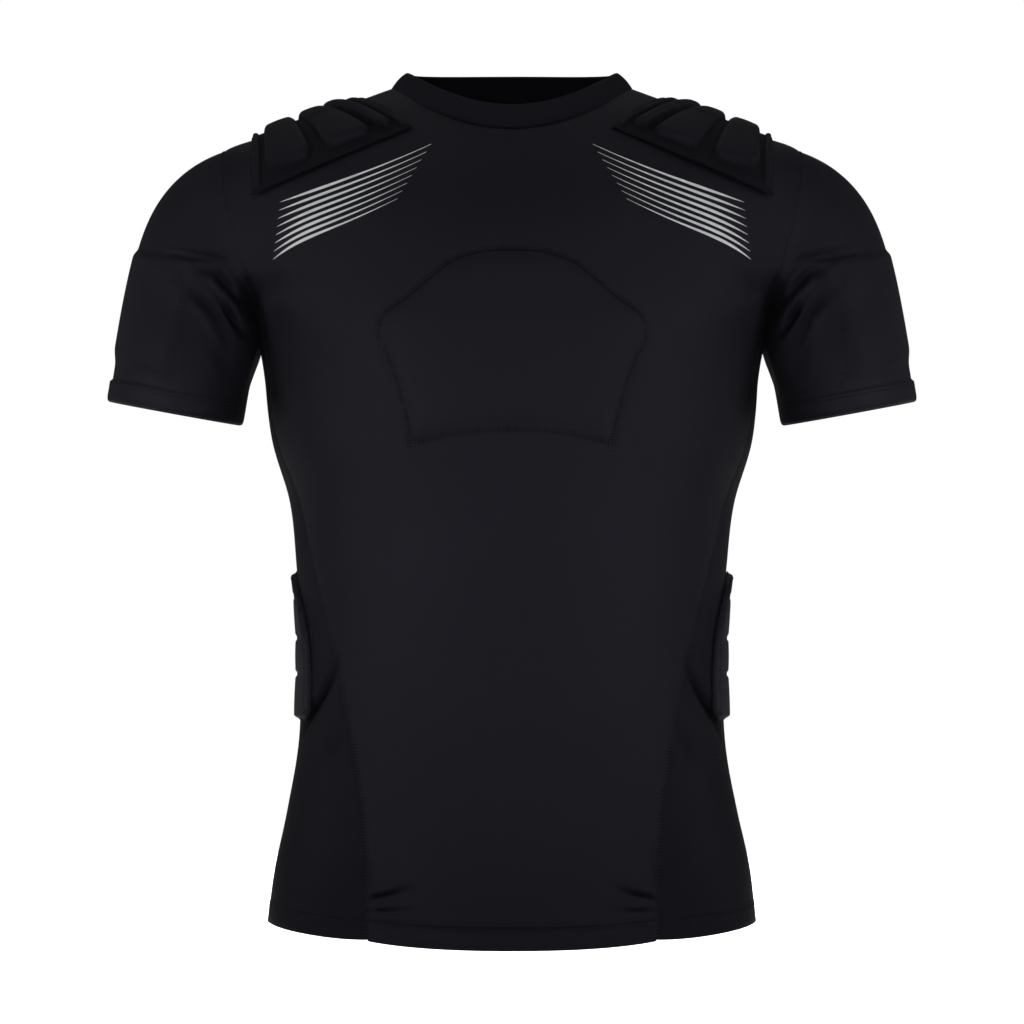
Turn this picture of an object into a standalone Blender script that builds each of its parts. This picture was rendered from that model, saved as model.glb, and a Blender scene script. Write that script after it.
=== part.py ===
"""Padded rugby vest in its worn, hollow form: body panels, sleeves, neckband and foam pads.

Metres, +Z up, the front faces -Y. The origin lies midway between the shoulders, at the height of
the high point of the shoulder seams, where the garment rests on whoever wears it.

The torso is one smooth surface. An angle runs round it (0 at the front centre, 90 degrees at the
side and along the shoulder seam, 180 degrees at the back centre) and a station runs up it, in
metres from the hem: past the armpit and the shoulder point to the neck seam. Every panel is a
stretch of that surface, and every pad is made from its points, moved out or in.
"""

import math
from collections import namedtuple

import bmesh
import bpy
from mathutils import Vector

# Cloth, seams and pads
CLOTH = 0.0015
NECKBAND_CLOTH = 0.003
SEAM_GAP = 0.0003
PAD_GAP = 0.0006
SHOULDER_PAD_GAP, SHOULDER_PAD_CORNER_GAP = 0.0010, 0.0029
CHEST_PAD_GAP = 0.0009
HEM_HEIGHT = 0.018
HEM_PROUD = 0.0008
HEM_STEP = 0.002

# Torso sections, from the hem to the neck seam
Section = namedtuple(
    "Section",
    "station front_z side_z back_z half_width front_depth back_depth squareness seam_angle",
)
TORSO = (
    Section(0.000, -0.6875, -0.6750, -0.6880, 0.1980, 0.1220, 0.1210, 2.30, 31.8),
    Section(0.045, -0.6395, -0.6330, -0.6400, 0.1930, 0.1190, 0.1180, 2.30, 33.0),
    Section(0.095, -0.5870, -0.5845, -0.5870, 0.1830, 0.1140, 0.1110, 2.30, 36.4),
    Section(0.150, -0.5300, -0.5300, -0.5300, 0.1735, 0.1090, 0.1040, 2.30, 43.2),
    Section(0.230, -0.4500, -0.4500, -0.4500, 0.1705, 0.1100, 0.1010, 2.30, 54.0),
    Section(0.295, -0.3850, -0.3850, -0.3850, 0.1748, 0.1140, 0.1040, 2.30, 63.4),
    Section(0.345, -0.3350, -0.3350, -0.3350, 0.1803, 0.1180, 0.1090, 2.30, 69.2),
    Section(0.395, -0.2850, -0.2850, -0.2850, 0.1950, 0.1230, 0.1150, 2.25, 75.0),
    Section(0.468, -0.2070, -0.2060, -0.2070, 0.2065, 0.1270, 0.1200, 2.20, 80.0),
    Section(0.520, -0.1810, -0.1580, -0.1750, 0.2345, 0.1258, 0.1203, 1.90, 80.0),
    Section(0.577, -0.1510, -0.1030, -0.1400, 0.2555, 0.1215, 0.1180, 1.71, 80.0),
    Section(0.606, -0.1340, -0.0740, -0.1190, 0.2500, 0.1182, 0.1150, 1.71, 80.0),
    Section(0.630, -0.1200, -0.0500, -0.1030, 0.2345, 0.1150, 0.1120, 1.73, 80.0),
    Section(0.660, -0.1035, -0.0388, -0.0820, 0.2060, 0.1100, 0.1065, 1.83, 80.0),
    Section(0.702, -0.0800, -0.0235, -0.0530, 0.1660, 0.1010, 0.0965, 1.91, 80.0),
    Section(0.775, -0.0380, 0.0010, -0.0030, 0.0980, 0.0800, 0.0720, 2.00, 80.0),
)
ARMPIT, SHOULDER_POINT, NECK = 0.468, 0.630, 0.775

# Armhole: how far it opens to the front and back, and where it is widest
ARMHOLE_DEPTH = 0.052
ARMHOLE_WIDEST = 0.42
ARMHOLE_LOW_REACH = 0.50

# Sleeve and its cuff
CUFF_CENTRE = Vector((0.2728, -0.005, -0.2630))
CUFF_LEAN = math.radians(10.3)
CUFF_HALF_WIDTH = 0.0551
CUFF_HALF_DEPTH = 0.0565
CUFF_HEM_HEIGHT = 0.0145
CUFF_HEM_PROUD = 0.0020
SLEEVE_TOP_SLOPE, SLEEVE_UNDERARM_SLOPE = math.radians(18), math.radians(79)
SLEEVE_LEAVE, SLEEVE_ARRIVE = 1.05, 1.3
SLEEVE_FRONT_LEAN = 0.15

# Neckband: the line of its upper edge, and the round of the fold along it
RIM = Section(0, -0.0185, 0.0138, 0.0175, 0.0865, 0.069, 0.064, 2.00, 0)
NECKBAND_BULGE = 0.0012
NECKBAND_FOLD_RISE = 0.35
NECKBAND_FOLD_ROUND = 0.0004
NECKBAND_SEAM_STEP = 0.004

# Chest pad, behind the front: half of its outline, from its lower to its upper edge
Outline = namedtuple("Outline", "z half_width")
CHEST_PAD = (
    Outline(-0.289, 0.0776),
    Outline(-0.242, 0.0895),
    Outline(-0.219, 0.0990),
    Outline(-0.204, 0.1060),
    Outline(-0.191, 0.1060),
    Outline(-0.183, 0.0990),
    Outline(-0.154, 0.0606),
    Outline(-0.134, 0.0250),
)
CHEST_PAD_ARCH = 0.0105
CHEST_PAD_ARCH_REACH = 0.045
CHEST_PAD_THICK, CHEST_PAD_EDGE = 0.006, 0.002

# Sleeve pad, inside the sleeve: where it starts on the way round, and its share of the way along
SLEEVE_PAD_START, SLEEVE_PAD_EDGE = math.radians(92), math.radians(14)
SLEEVE_PAD_ALONG = (0.45, 0.90)
SLEEVE_PAD_THICK, SLEEVE_PAD_LIFT = 0.005, 0.0025
SLEEVE_PAD_SLOPE = 0.06

# Shoulder pad: corners as seen from the front or the back, and its ends on the shoulder line
PAD_OUTER_X, PAD_INNER_X = 0.211, 0.124
Corner = namedtuple("Corner", "x z")
PAD_FRONT = (Corner(0.207, -0.091), Corner(0.079, -0.037))
PAD_BACK = (Corner(0.205, -0.086), Corner(0.084, -0.030))
PAD_CURVE = 1.5
PAD_FLANGE, PAD_BLOCK = 0.0013, 0.0070
PAD_LOWEST = SHOULDER_POINT - 0.03
Line = namedtuple("Line", "at level")
PAD_ALONG = (
    Line(0.000, 0.0), Line(0.015, 0.4), Line(0.060, 0.4), Line(0.075, 0.0),
    Line(0.090, 0.0), Line(0.120, 1.0), Line(0.250, 1.0), Line(0.365, 1.0), Line(0.395, 0.0),
    Line(0.430, 0.0), Line(0.460, 1.0), Line(0.575, 1.0), Line(0.690, 1.0), Line(0.720, 0.0),
    Line(0.755, 0.0), Line(0.785, 1.0), Line(0.860, 1.0), Line(0.890, 0.0), Line(1.000, 0.0),
)
PAD_ACROSS = (
    Line(-1.00, 0.0), Line(-0.87, 0.0),
    Line(-0.81, 1.0), Line(-0.67, 1.0), Line(-0.54, 1.0), Line(-0.41, 1.0),
    Line(-0.35, 0.1), Line(-0.31, 0.1),
    Line(-0.25, 0.7), Line(-0.13, 0.7), Line(0.00, 0.7), Line(0.13, 0.7), Line(0.25, 0.7),
    Line(0.31, 0.1), Line(0.35, 0.1),
    Line(0.41, 1.0), Line(0.54, 1.0), Line(0.67, 1.0), Line(0.81, 1.0),
    Line(0.87, 0.0), Line(1.00, 0.0),
)

# Rib pad, on the side panel: half of its outline, and its blocks
RIB_PAD = (
    Outline(-0.511, 0.039),
    Outline(-0.500, 0.047),
    Outline(-0.470, 0.046),
    Outline(-0.437, 0.0405),
    Outline(-0.410, 0.0276),
    Outline(-0.3995, 0.0177),
    Outline(-0.391, 0.006),
)
RIB_PAD_GROOVES = (-0.4745, -0.4450, -0.4110)
RIB_PAD_GROOVE_WIDTH, RIB_PAD_ROUNDING = 0.004, 0.0035
RIB_PAD_FLANGE_WIDTH = 0.005
RIB_PAD_GROOVE_LEVEL = 0.2
RIB_PAD_FLANGE, RIB_PAD_BLOCK = 0.0016, 0.0048
RIB_PAD_ACROSS = (
    Line(-1.00, 0.0), Line(-0.88, 0.0), Line(-0.78, 1.0), Line(-0.40, 1.0), Line(0.00, 1.0),
    Line(0.40, 1.0), Line(0.78, 1.0), Line(0.88, 0.0), Line(1.00, 0.0),
)

# Largest folds, as troughs seen from the front: one below the rib pad, two that fan from the armpit
Fold = namedtuple("Fold", "x0 z0 x1 z1 depth half_width")
FOLD_FADE = 0.03
SLEEVE_FOLD_RINGS = 2
TORSO_FOLDS = (Fold(0.140, -0.463, 0.167, -0.523, 0.0040, 0.012),)
SLEEVE_FOLDS = (
    Fold(0.204, -0.197, 0.2465, -0.148, 0.0035, 0.010),
    Fold(0.215, -0.240, 0.2600, -0.154, 0.0030, 0.010),
)

# Grid sizes
BODY_ROWS, ARMHOLE_ROWS, SHOULDER_ROWS = 15, 11, 7
PANEL_COLUMNS, SIDE_COLUMNS = 20, 10
SLEEVE_RINGS = 10
CHEST_PAD_ROWS, CHEST_PAD_COLUMNS = 10, 12
SMOOTH_ANGLE = math.radians(40)
HALVINGS = 40

# Finishes
Finish = namedtuple("Finish", "colour roughness")
JERSEY = Finish((0.0116, 0.0110, 0.0152), 0.62)
MESH = Finish((0.0085, 0.0080, 0.0110), 0.75)
RIB = Finish((0.0095, 0.0090, 0.0125), 0.70)
PAD_COVER = Finish((0.0100, 0.0095, 0.0125), 0.55)
FOAM = Finish((0.0150, 0.0150, 0.0180), 0.85)


def even(low, high, steps):
    return [low + (high - low) * i / steps for i in range(steps + 1)]


def eased(share):
    """0 to 1 with a level start and end."""
    share = min(1.0, max(0.0, share))
    return share * share * (3 - 2 * share)


def smooth(stations, values, at):
    """Value at a station, on a smooth curve through the given ones."""
    at = min(stations[-1], max(stations[0], at))
    i = max(k for k in range(len(stations) - 1) if stations[k] <= at)

    def slope(k):
        low, high = max(k - 1, 0), min(k + 1, len(stations) - 1)
        return (values[high] - values[low]) / (stations[high] - stations[low])

    span = stations[i + 1] - stations[i]
    u = (at - stations[i]) / span
    start, end = values[i], values[i + 1]
    leave, arrive = slope(i) * span, slope(i + 1) * span
    return (
        start * (2 * u**3 - 3 * u**2 + 1)
        + leave * (u**3 - 2 * u**2 + u)
        + end * (3 * u**2 - 2 * u**3)
        + arrive * (u**3 - u**2)
    )


STATIONS = tuple(row.station for row in TORSO)
COLUMNS = tuple(zip(*TORSO))


def section_at(station):
    return Section(*(smooth(STATIONS, column, station) for column in COLUMNS))


def signed_power(value, power):
    return math.copysign(abs(value) ** power, value)


def ring_point(row, angle):
    """Point of a section at an angle: a rounded oval whose front, sides and back have their own heights."""
    across, ahead = math.sin(angle), math.cos(angle)
    power = 2 / row.squareness
    depth, level = (row.front_depth, row.front_z) if ahead > 0 else (row.back_depth, row.back_z)
    return Vector((
        row.half_width * signed_power(across, power),
        -depth * signed_power(ahead, power),
        level + (row.side_z - level) * across**2,
    ))


def torso(angle, station):
    return ring_point(section_at(station), angle)


def torso_normal(angle, station, turn=math.radians(0.5), rise=0.001):
    low, high = max(0.0, station - rise), min(NECK, station + rise)
    round_it = torso(angle + turn, station) - torso(angle - turn, station)
    up_it = torso(angle, high) - torso(angle, low)
    return round_it.cross(up_it).normalized()


def angle_at_x(row, x):
    return math.asin((x / row.half_width) ** (row.squareness / 2))


def angle_at_y(row, y):
    """Angle at a depth: negative y is on the front half."""
    depth = row.front_depth if y < 0 else row.back_depth
    turn = math.acos((abs(y) / depth) ** (row.squareness / 2))
    return turn if y < 0 else math.pi - turn


def seen_at(x, z, back=False):
    """Angle and station of the point that shows at x, z from the front, or from the back."""
    low, high = 0.0, NECK
    for _ in range(HALVINGS):
        station = (low + high) / 2
        row = section_at(station)
        if x >= row.half_width:
            too_low = station < SHOULDER_POINT
        else:
            angle = angle_at_x(row, x)
            angle = math.pi - angle if back else angle
            too_low = ring_point(row, angle).z < z
        low, high = (station, high) if too_low else (low, station)
    return angle, station


def station_at_height(z):
    """Station below the armpit at a height on the side."""
    low, high = 0.0, ARMPIT
    for _ in range(HALVINGS):
        middle = (low + high) / 2
        low, high = (middle, high) if section_at(middle).side_z < z else (low, middle)
    return low


def fold_depth(folds, point):
    """How far the folds draw the cloth in at a point, alike on the front and the back."""
    total = 0.0
    for fold in folds:
        start, end = Vector((fold.x0, fold.z0)), Vector((fold.x1, fold.z1))
        run = end - start
        off = Vector((abs(point.x), point.z)) - start
        share = off.dot(run) / run.length_squared
        aside = (off - run * min(1.0, max(0.0, share))).length
        total += fold.depth * math.exp(-((aside / fold.half_width) ** 2)) * eased(abs(point.y) / FOLD_FADE)
    return total


def outline_half_width(outline, z):
    for low, high in zip(outline, outline[1:]):
        if low.z <= z <= high.z:
            share = (z - low.z) / (high.z - low.z)
            return low.half_width + (high.half_width - low.half_width) * share
    return outline[0].half_width if z < outline[0].z else outline[-1].half_width


def chest_pad_foot(x):
    """Height of the chest pad's arched lower edge."""
    share = min(1.0, abs(x) / CHEST_PAD[0].half_width)
    return CHEST_PAD[0].z + CHEST_PAD_ARCH * (1 - share**2)


def hem_proud(station):
    """The turned-up hem stands a little proud of the single cloth above it."""
    return HEM_PROUD * (1 - eased((station - HEM_HEIGHT) / HEM_STEP))


def clear_scene():
    for old in list(bpy.data.objects):
        bpy.data.objects.remove(old)


def material(name, finish):
    made = bpy.data.materials.new(name)
    made.use_nodes = True
    shader = made.node_tree.nodes["Principled BSDF"]
    shader.inputs["Base Color"].default_value = (*finish.colour, 1)
    shader.inputs["Roughness"].default_value = finish.roughness
    shader.inputs["Metallic"].default_value = 0
    return made


def wall(name, outer, inner, finish, ring=False):
    """One closed solid between two grids of points. A ring joins its last column to its first."""
    mesh_data = bmesh.new()
    rows, columns = len(outer), len(outer[0])
    skins = [[[mesh_data.verts.new(p) for p in row] for row in grid] for grid in (outer, inner)]
    steps = columns if ring else columns - 1
    for skin in skins:
        for i in range(rows - 1):
            for j in range(steps):
                k = (j + 1) % columns
                mesh_data.faces.new((skin[i][j], skin[i][k], skin[i + 1][k], skin[i + 1][j]))
    outside, inside = skins
    for i in (0, rows - 1):
        for j in range(steps):
            k = (j + 1) % columns
            mesh_data.faces.new((outside[i][j], inside[i][j], inside[i][k], outside[i][k]))
    for j in () if ring else (0, columns - 1):
        for i in range(rows - 1):
            mesh_data.faces.new((outside[i][j], outside[i + 1][j], inside[i + 1][j], inside[i][j]))
    bmesh.ops.recalc_face_normals(mesh_data, faces=mesh_data.faces)
    mesh = bpy.data.meshes.new(name)
    mesh_data.to_mesh(mesh)
    mesh_data.free()
    mesh.shade_smooth()
    mesh.set_sharp_from_angle(angle=SMOOTH_ANGLE)
    mesh.materials.append(finish)
    made = bpy.data.objects.new(name, mesh)
    bpy.context.scene.collection.objects.link(made)
    return made


def draw_edges_in(grid, distance):
    """Moves the border of a grid of points inwards, along the cloth, to leave room for a seam."""
    def towards(point, other):
        return point + (other - point).normalized() * distance

    for row in grid:
        row[0], row[-1] = towards(row[0], row[1]), towards(row[-1], row[-2])
    columns = len(grid[0])
    grid[0] = [towards(grid[0][j], grid[1][j]) for j in range(columns)]
    grid[-1] = [towards(grid[-1][j], grid[-2][j]) for j in range(columns)]
    return grid


def moved(grid, normals, distance):
    return [[p + n * distance for p, n in zip(*rows)] for rows in zip(grid, normals)]


def mirrored(grid):
    return [[Vector((-p.x, p.y, p.z)) for p in row] for row in grid]


def body_stations():
    """Rows from the hem to the armpit: the hem's own, then even ones."""
    first = HEM_HEIGHT + HEM_STEP
    return [0.0, HEM_HEIGHT, *even(first, ARMPIT, BODY_ROWS)]


def armhole_stations():
    """Rows from the armpit to the shoulder point, closer together towards its round top."""
    shares = [math.sin(turn) for turn in even(0, math.pi / 2, ARMHOLE_ROWS)]
    return [ARMPIT + (SHOULDER_POINT - ARMPIT) * share for share in shares]


def shoulder_stations():
    return even(SHOULDER_POINT, NECK, SHOULDER_ROWS)


def armhole_reach(station):
    """Depth of the armhole's edge, before or behind the shoulder seam."""
    height = (station - ARMPIT) / (SHOULDER_POINT - ARMPIT)
    span = 1 - ARMHOLE_WIDEST if height > ARMHOLE_WIDEST else ARMHOLE_LOW_REACH
    share = min(1.0, abs(height - ARMHOLE_WIDEST) / span)
    return ARMHOLE_DEPTH * math.sqrt(1 - share**2)


def edge_angle(station, back=False):
    """Angle of a panel's edge: the side seam, then the armhole, then the shoulder seam."""
    row = section_at(station)
    if station <= ARMPIT:
        angle = math.radians(row.seam_angle)
    elif station < SHOULDER_POINT:
        angle = angle_at_y(row, -armhole_reach(station))
    else:
        angle = math.pi / 2
    return math.pi - angle if back else angle


def cloth_lift(point, station):
    """How far the cloth stands off the plain torso: out at the hem, in at the folds."""
    return hem_proud(station) - fold_depth(TORSO_FOLDS, point)


def torso_panel(name, stations, angles, finish):
    """A wall on the torso; angles gives the angles of a row's points."""
    grid, normals = [], []
    for station in stations:
        row, row_normals = [], []
        for angle in angles(station):
            normal = torso_normal(angle, station)
            point = torso(angle, station)
            row.append(point + normal * cloth_lift(point, station))
            row_normals.append(normal)
        grid.append(row)
        normals.append(row_normals)
    draw_edges_in(grid, SEAM_GAP / 2)
    return wall(name, grid, moved(grid, normals, -CLOTH), finish)


def front_and_back(jersey):
    stations = [*body_stations(), *armhole_stations()[1:], *shoulder_stations()[1:]]

    def front_angles(station):
        edge = edge_angle(station)
        return even(-edge, edge, PANEL_COLUMNS)

    def back_angles(station):
        edge = edge_angle(station, back=True)
        return even(edge, 2 * math.pi - edge, PANEL_COLUMNS)

    torso_panel("front", stations, front_angles, jersey)
    torso_panel("back", stations, back_angles, jersey)


def side_panels(mesh):
    def angles(sign):
        def of_row(station):
            front, back = edge_angle(station), edge_angle(station, back=True)
            return [sign * angle for angle in even(front, back, SIDE_COLUMNS)]
        return of_row

    for name, sign in (("side_left", 1), ("side_right", -1)):
        torso_panel(name, body_stations(), angles(sign), mesh)


def armhole_loop():
    """Points of the left armhole and their turn round the arm: 0 at the armpit, pi at the shoulder."""
    stations = armhole_stations()
    front = [torso(edge_angle(s), s) for s in stations]
    back = [torso(edge_angle(s, back=True), s) for s in stations]
    front[-1] = back[-1] = torso(math.pi / 2, SHOULDER_POINT)
    under = [torso(angle, ARMPIT) for angle in
             even(edge_angle(ARMPIT), edge_angle(ARMPIT, back=True), SIDE_COLUMNS)]
    half = SIDE_COLUMNS // 2

    def turns(points):
        lengths = [0.0]
        for a, b in zip(points, points[1:]):
            lengths.append(lengths[-1] + (b - a).length)
        return [length / lengths[-1] * math.pi for length in lengths]

    front_half = [*reversed(under[1:half + 1]), *front]
    back_half = [*under[half:-1], *back]
    front_part = list(zip(front_half, turns(front_half), [-1] * len(front_half)))
    back_part = list(zip(back_half, turns(back_half), [1] * len(back_half)))
    return [*back_part, *reversed(front_part[1:-1])]


def top_share(turn):
    """0 at the underarm and 1 at the top of the sleeve."""
    return (1 - math.cos(turn)) / 2


def sleeve_path(start, turn, side):
    """Curve down the sleeve from an armhole point. side is -1 along the front and 1 along the back."""
    outward = Vector((math.cos(CUFF_LEAN), 0, math.sin(CUFF_LEAN)))
    down = Vector((math.sin(CUFF_LEAN), 0, -math.cos(CUFF_LEAN)))
    end = (
        CUFF_CENTRE
        - outward * math.cos(turn) * CUFF_HALF_WIDTH
        + Vector((0, side * math.sin(turn) * CUFF_HALF_DEPTH, 0))
    )
    slope = SLEEVE_UNDERARM_SLOPE + (SLEEVE_TOP_SLOPE - SLEEVE_UNDERARM_SLOPE) * top_share(turn)
    leaving = Vector((math.cos(slope), side * SLEEVE_FRONT_LEAN * math.sin(turn), -math.sin(slope)))
    first = start + leaving * SEAM_GAP + Vector((SEAM_GAP * (1 - top_share(turn)), 0, 0))
    length = (end - first).length
    leave, arrive = leaving * length * SLEEVE_LEAVE, down * length * SLEEVE_ARRIVE

    def at(u):
        return (
            first * (2 * u**3 - 3 * u**2 + 1)
            + leave * (u**3 - 2 * u**2 + u)
            + end * (3 * u**2 - 2 * u**3)
            + arrive * (u**3 - u**2)
        )

    return at, length


def sleeve_pad_cover(turn, share):
    """1 where the sleeve pad lies under the cloth, falling to 0 round its edge."""
    round_it = eased((turn - SLEEVE_PAD_START) / SLEEVE_PAD_EDGE)
    low, high = SLEEVE_PAD_ALONG
    along = eased((share - low) / SLEEVE_PAD_SLOPE) * eased((high - share) / SLEEVE_PAD_SLOPE)
    return round_it * along


def grid_normals(grid, ring):
    """Normals of a grid of points whose columns run round it and whose rows run down it."""
    rows, columns = len(grid), len(grid[0])
    found = []
    for i in range(rows):
        row = []
        for j in range(columns):
            before = (j - 1) % columns if ring else max(j - 1, 0)
            after = (j + 1) % columns if ring else min(j + 1, columns - 1)
            across = grid[i][after] - grid[i][before]
            down = grid[min(i + 1, rows - 1)][j] - grid[max(i - 1, 0)][j]
            row.append(across.cross(down).normalized())
        found.append(row)
    return found


def sleeve_grid():
    """Rings of the left sleeve from the armhole to the cuff, their normals and their shares of the way."""
    loop = armhole_loop()
    paths = [sleeve_path(point, turn, side) for point, turn, side in loop]
    grid, shares = [], []
    hem_rings = 2
    for ring in range(SLEEVE_RINGS + 1 + hem_rings):
        row, row_shares = [], []
        for at, length in paths:
            hem_start = 1 - CUFF_HEM_HEIGHT / length
            last = (hem_start, hem_start + HEM_STEP / length, 1.0)
            share = hem_start * ring / SLEEVE_RINGS if ring <= SLEEVE_RINGS else last[ring - SLEEVE_RINGS]
            row.append(at(share))
            row_shares.append(share)
        grid.append(row)
        shares.append(row_shares)
    normals = grid_normals(grid, ring=True)
    for i, row in enumerate(grid):
        proud = CUFF_HEM_PROUD if i > SLEEVE_RINGS else 0.0
        for j, (_, turn, _) in enumerate(loop):
            lift = SLEEVE_PAD_LIFT * sleeve_pad_cover(turn, shares[i][j]) + proud * top_share(turn)
            settle = eased(i / SLEEVE_FOLD_RINGS)
            row[j] = row[j] + normals[i][j] * (lift - settle * fold_depth(SLEEVE_FOLDS, row[j]))
    return grid, normals, shares


def sleeves(jersey, foam):
    grid, normals, shares = sleeve_grid()
    inner = moved(grid, normals, -CLOTH)
    pad_outer, pad_inner = sleeve_pad_grids(inner, normals, shares)
    for side, turned in (("left", lambda g: g), ("right", mirrored)):
        wall(f"sleeve_{side}", turned(grid), turned(inner), jersey, ring=True)
        wall(f"sleeve_pad_{side}", turned(pad_outer), turned(pad_inner), foam)


def sleeve_pad_grids(inner, normals, shares):
    """The pad's two faces, from the points of the sleeve's inside where the pad lies."""
    loop = armhole_loop()
    columns = [j for j, (_, turn, _) in enumerate(loop) if turn >= SLEEVE_PAD_START]
    low, high = SLEEVE_PAD_ALONG
    outermost = max(columns, key=lambda j: loop[j][1])
    rows = [i for i in range(SLEEVE_RINGS + 1) if low <= shares[i][outermost] <= high]
    picked = [[inner[i][j] for j in columns] for i in rows]
    facing = [[normals[i][j] for j in columns] for i in rows]
    outer_face = moved(picked, facing, -SEAM_GAP)
    return outer_face, moved(outer_face, facing, -SLEEVE_PAD_THICK)


def neck_angles():
    half_turn = math.pi / 2
    front = even(-half_turn, half_turn, PANEL_COLUMNS)
    back = even(half_turn, 3 * half_turn, PANEL_COLUMNS)
    return [*front[:-1], *back[:-1]]


def neckband(rib):
    """A doubled band from the neck seam to its upper edge, with a rounded fold at the top."""
    angles = neck_angles()
    foot, facing, top = [], [], []
    for angle in angles:
        normal = torso_normal(angle, NECK)
        edge = torso(angle, NECK)
        rise = (edge - torso(angle, NECK - NECKBAND_SEAM_STEP)).normalized()
        foot.append(edge + rise * SEAM_GAP)
        facing.append(normal)
        top.append(ring_point(RIM, angle))
    middle = [a * 0.5 + b * 0.5 + n * NECKBAND_BULGE for a, b, n in zip(foot, top, facing)]
    outer = [foot, middle, top]
    outward = grid_normals(outer, ring=True)
    outward = [facing, outward[1], outward[2]]
    inner = moved(outer, outward, -NECKBAND_CLOTH)
    fold = [(a + b) / 2 + (a - m).normalized() * NECKBAND_CLOTH * NECKBAND_FOLD_RISE
            for a, b, m in zip(outer[2], inner[2], outer[1])]
    outer.append(fold)
    down = Vector((0, 0, -1))
    inner.append([f + (down - n) * NECKBAND_FOLD_ROUND for f, n in zip(fold, outward[2])])
    return wall("neckband", outer, inner, rib, ring=True)


def shoulder_pad_place(along, across):
    """Angle and station of a point of the left shoulder pad, whose lines curve in past the neck."""
    outer_edge, inner_edge = PAD_FRONT if across < 0 else PAD_BACK
    low_x = outer_edge.x + (inner_edge.x - outer_edge.x) * along
    low_z = outer_edge.z + (inner_edge.z - outer_edge.z) * along
    top_x = PAD_OUTER_X + (PAD_INNER_X - PAD_OUTER_X) * along
    low_angle, _ = seen_at(low_x, low_z, back=across > 0)
    angle = math.pi / 2 + (low_angle - math.pi / 2) * abs(across)
    return angle, shoulder_station_at(angle, top_x + (low_x - top_x) * abs(across) ** PAD_CURVE)


def shoulder_station_at(angle, x):
    """Station above the armhole where the torso, at an angle, is this far from the middle."""
    low, high = PAD_LOWEST, NECK
    for _ in range(HALVINGS):
        middle = (low + high) / 2
        low, high = (middle, high) if torso(angle, middle).x > x else (low, middle)
    return low


def shoulder_pads(cover):
    under, outer = [], []
    for along in PAD_ALONG:
        low_row, high_row = [], []
        for across in PAD_ACROSS:
            angle, station = shoulder_pad_place(along.at, across.at)
            point, normal = torso(angle, station), torso_normal(angle, station)
            level = min(along.level, across.level)
            height = PAD_FLANGE + (PAD_BLOCK - PAD_FLANGE) * level
            corner = abs(across.at) * (1 - along.at)
            gap = SHOULDER_PAD_GAP + (SHOULDER_PAD_CORNER_GAP - SHOULDER_PAD_GAP) * corner
            low_row.append(point + normal * gap)
            high_row.append(point + normal * (gap + height))
        under.append(low_row)
        outer.append(high_row)
    wall("shoulder_pad_left", outer, under, cover)
    wall("shoulder_pad_right", mirrored(outer), mirrored(under), cover)


def rib_pad_lines():
    """Heights of the rib pad's rows, and whether each is on a block's top."""
    foot, head = RIB_PAD[0].z, RIB_PAD[-1].z
    edges = [foot + RIB_PAD_FLANGE_WIDTH]
    for groove in RIB_PAD_GROOVES:
        edges += [groove - RIB_PAD_GROOVE_WIDTH / 2, groove + RIB_PAD_GROOVE_WIDTH / 2]
    edges.append(head - RIB_PAD_FLANGE_WIDTH)
    lines = [Line(foot, 0.0)]
    for low, high in zip(edges[::2], edges[1::2]):
        lines += [
            Line(low, RIB_PAD_GROOVE_LEVEL), Line(low + RIB_PAD_ROUNDING, 1.0),
            Line(high - RIB_PAD_ROUNDING, 1.0), Line(high, RIB_PAD_GROOVE_LEVEL),
        ]
    return [*lines, Line(head, 0.0)]


def rib_pads(cover):
    under, outer = [], []
    for line in rib_pad_lines():
        station = station_at_height(line.at)
        row = section_at(station)
        half = outline_half_width(RIB_PAD, line.at)
        low_row, high_row = [], []
        for across in RIB_PAD_ACROSS:
            angle = angle_at_y(row, across.at * half)
            point, normal = torso(angle, station), torso_normal(angle, station)
            height = RIB_PAD_FLANGE + (RIB_PAD_BLOCK - RIB_PAD_FLANGE) * min(line.level, across.level)
            low_row.append(point + normal * PAD_GAP)
            high_row.append(point + normal * (PAD_GAP + height))
        under.append(low_row)
        outer.append(high_row)
    wall("rib_pad_left", outer, under, cover)
    wall("rib_pad_right", mirrored(outer), mirrored(under), cover)


def chest_pad(foam):
    """The pad behind the front: made from the front's inside, thinner round its edge."""
    outer, inner = [], []
    foot, head = CHEST_PAD[0].z, CHEST_PAD[-1].z
    for i in range(CHEST_PAD_ROWS + 1):
        level = foot + (head - foot) * i / CHEST_PAD_ROWS
        half = outline_half_width(CHEST_PAD, level)
        fade = 1 - eased((level - foot) / CHEST_PAD_ARCH_REACH)
        outer_row, inner_row = [], []
        for across in even(-1, 1, CHEST_PAD_COLUMNS):
            x = across * half
            z = level + (chest_pad_foot(x) - foot) * fade
            angle, station = seen_at(abs(x), z)
            angle = math.copysign(angle, x)
            point, normal = torso(angle, station), torso_normal(angle, station)
            border = i in (0, CHEST_PAD_ROWS) or abs(across) == 1
            thick = CHEST_PAD_EDGE if border else CHEST_PAD_THICK
            face = point - normal * (CLOTH + CHEST_PAD_GAP)
            outer_row.append(face)
            inner_row.append(face - normal * thick)
        outer.append(outer_row)
        inner.append(inner_row)
    return wall("chest_pad", outer, inner, foam)


def main():
    clear_scene()
    jersey = material("black_jersey", JERSEY)
    mesh = material("black_mesh", MESH)
    rib = material("black_rib", RIB)
    cover = material("black_pad_cover", PAD_COVER)
    foam = material("dark_foam", FOAM)
    front_and_back(jersey)
    side_panels(mesh)
    sleeves(jersey, foam)
    neckband(rib)
    shoulder_pads(cover)
    rib_pads(cover)
    chest_pad(foam)


if __name__ == "__main__":
    main()
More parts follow.
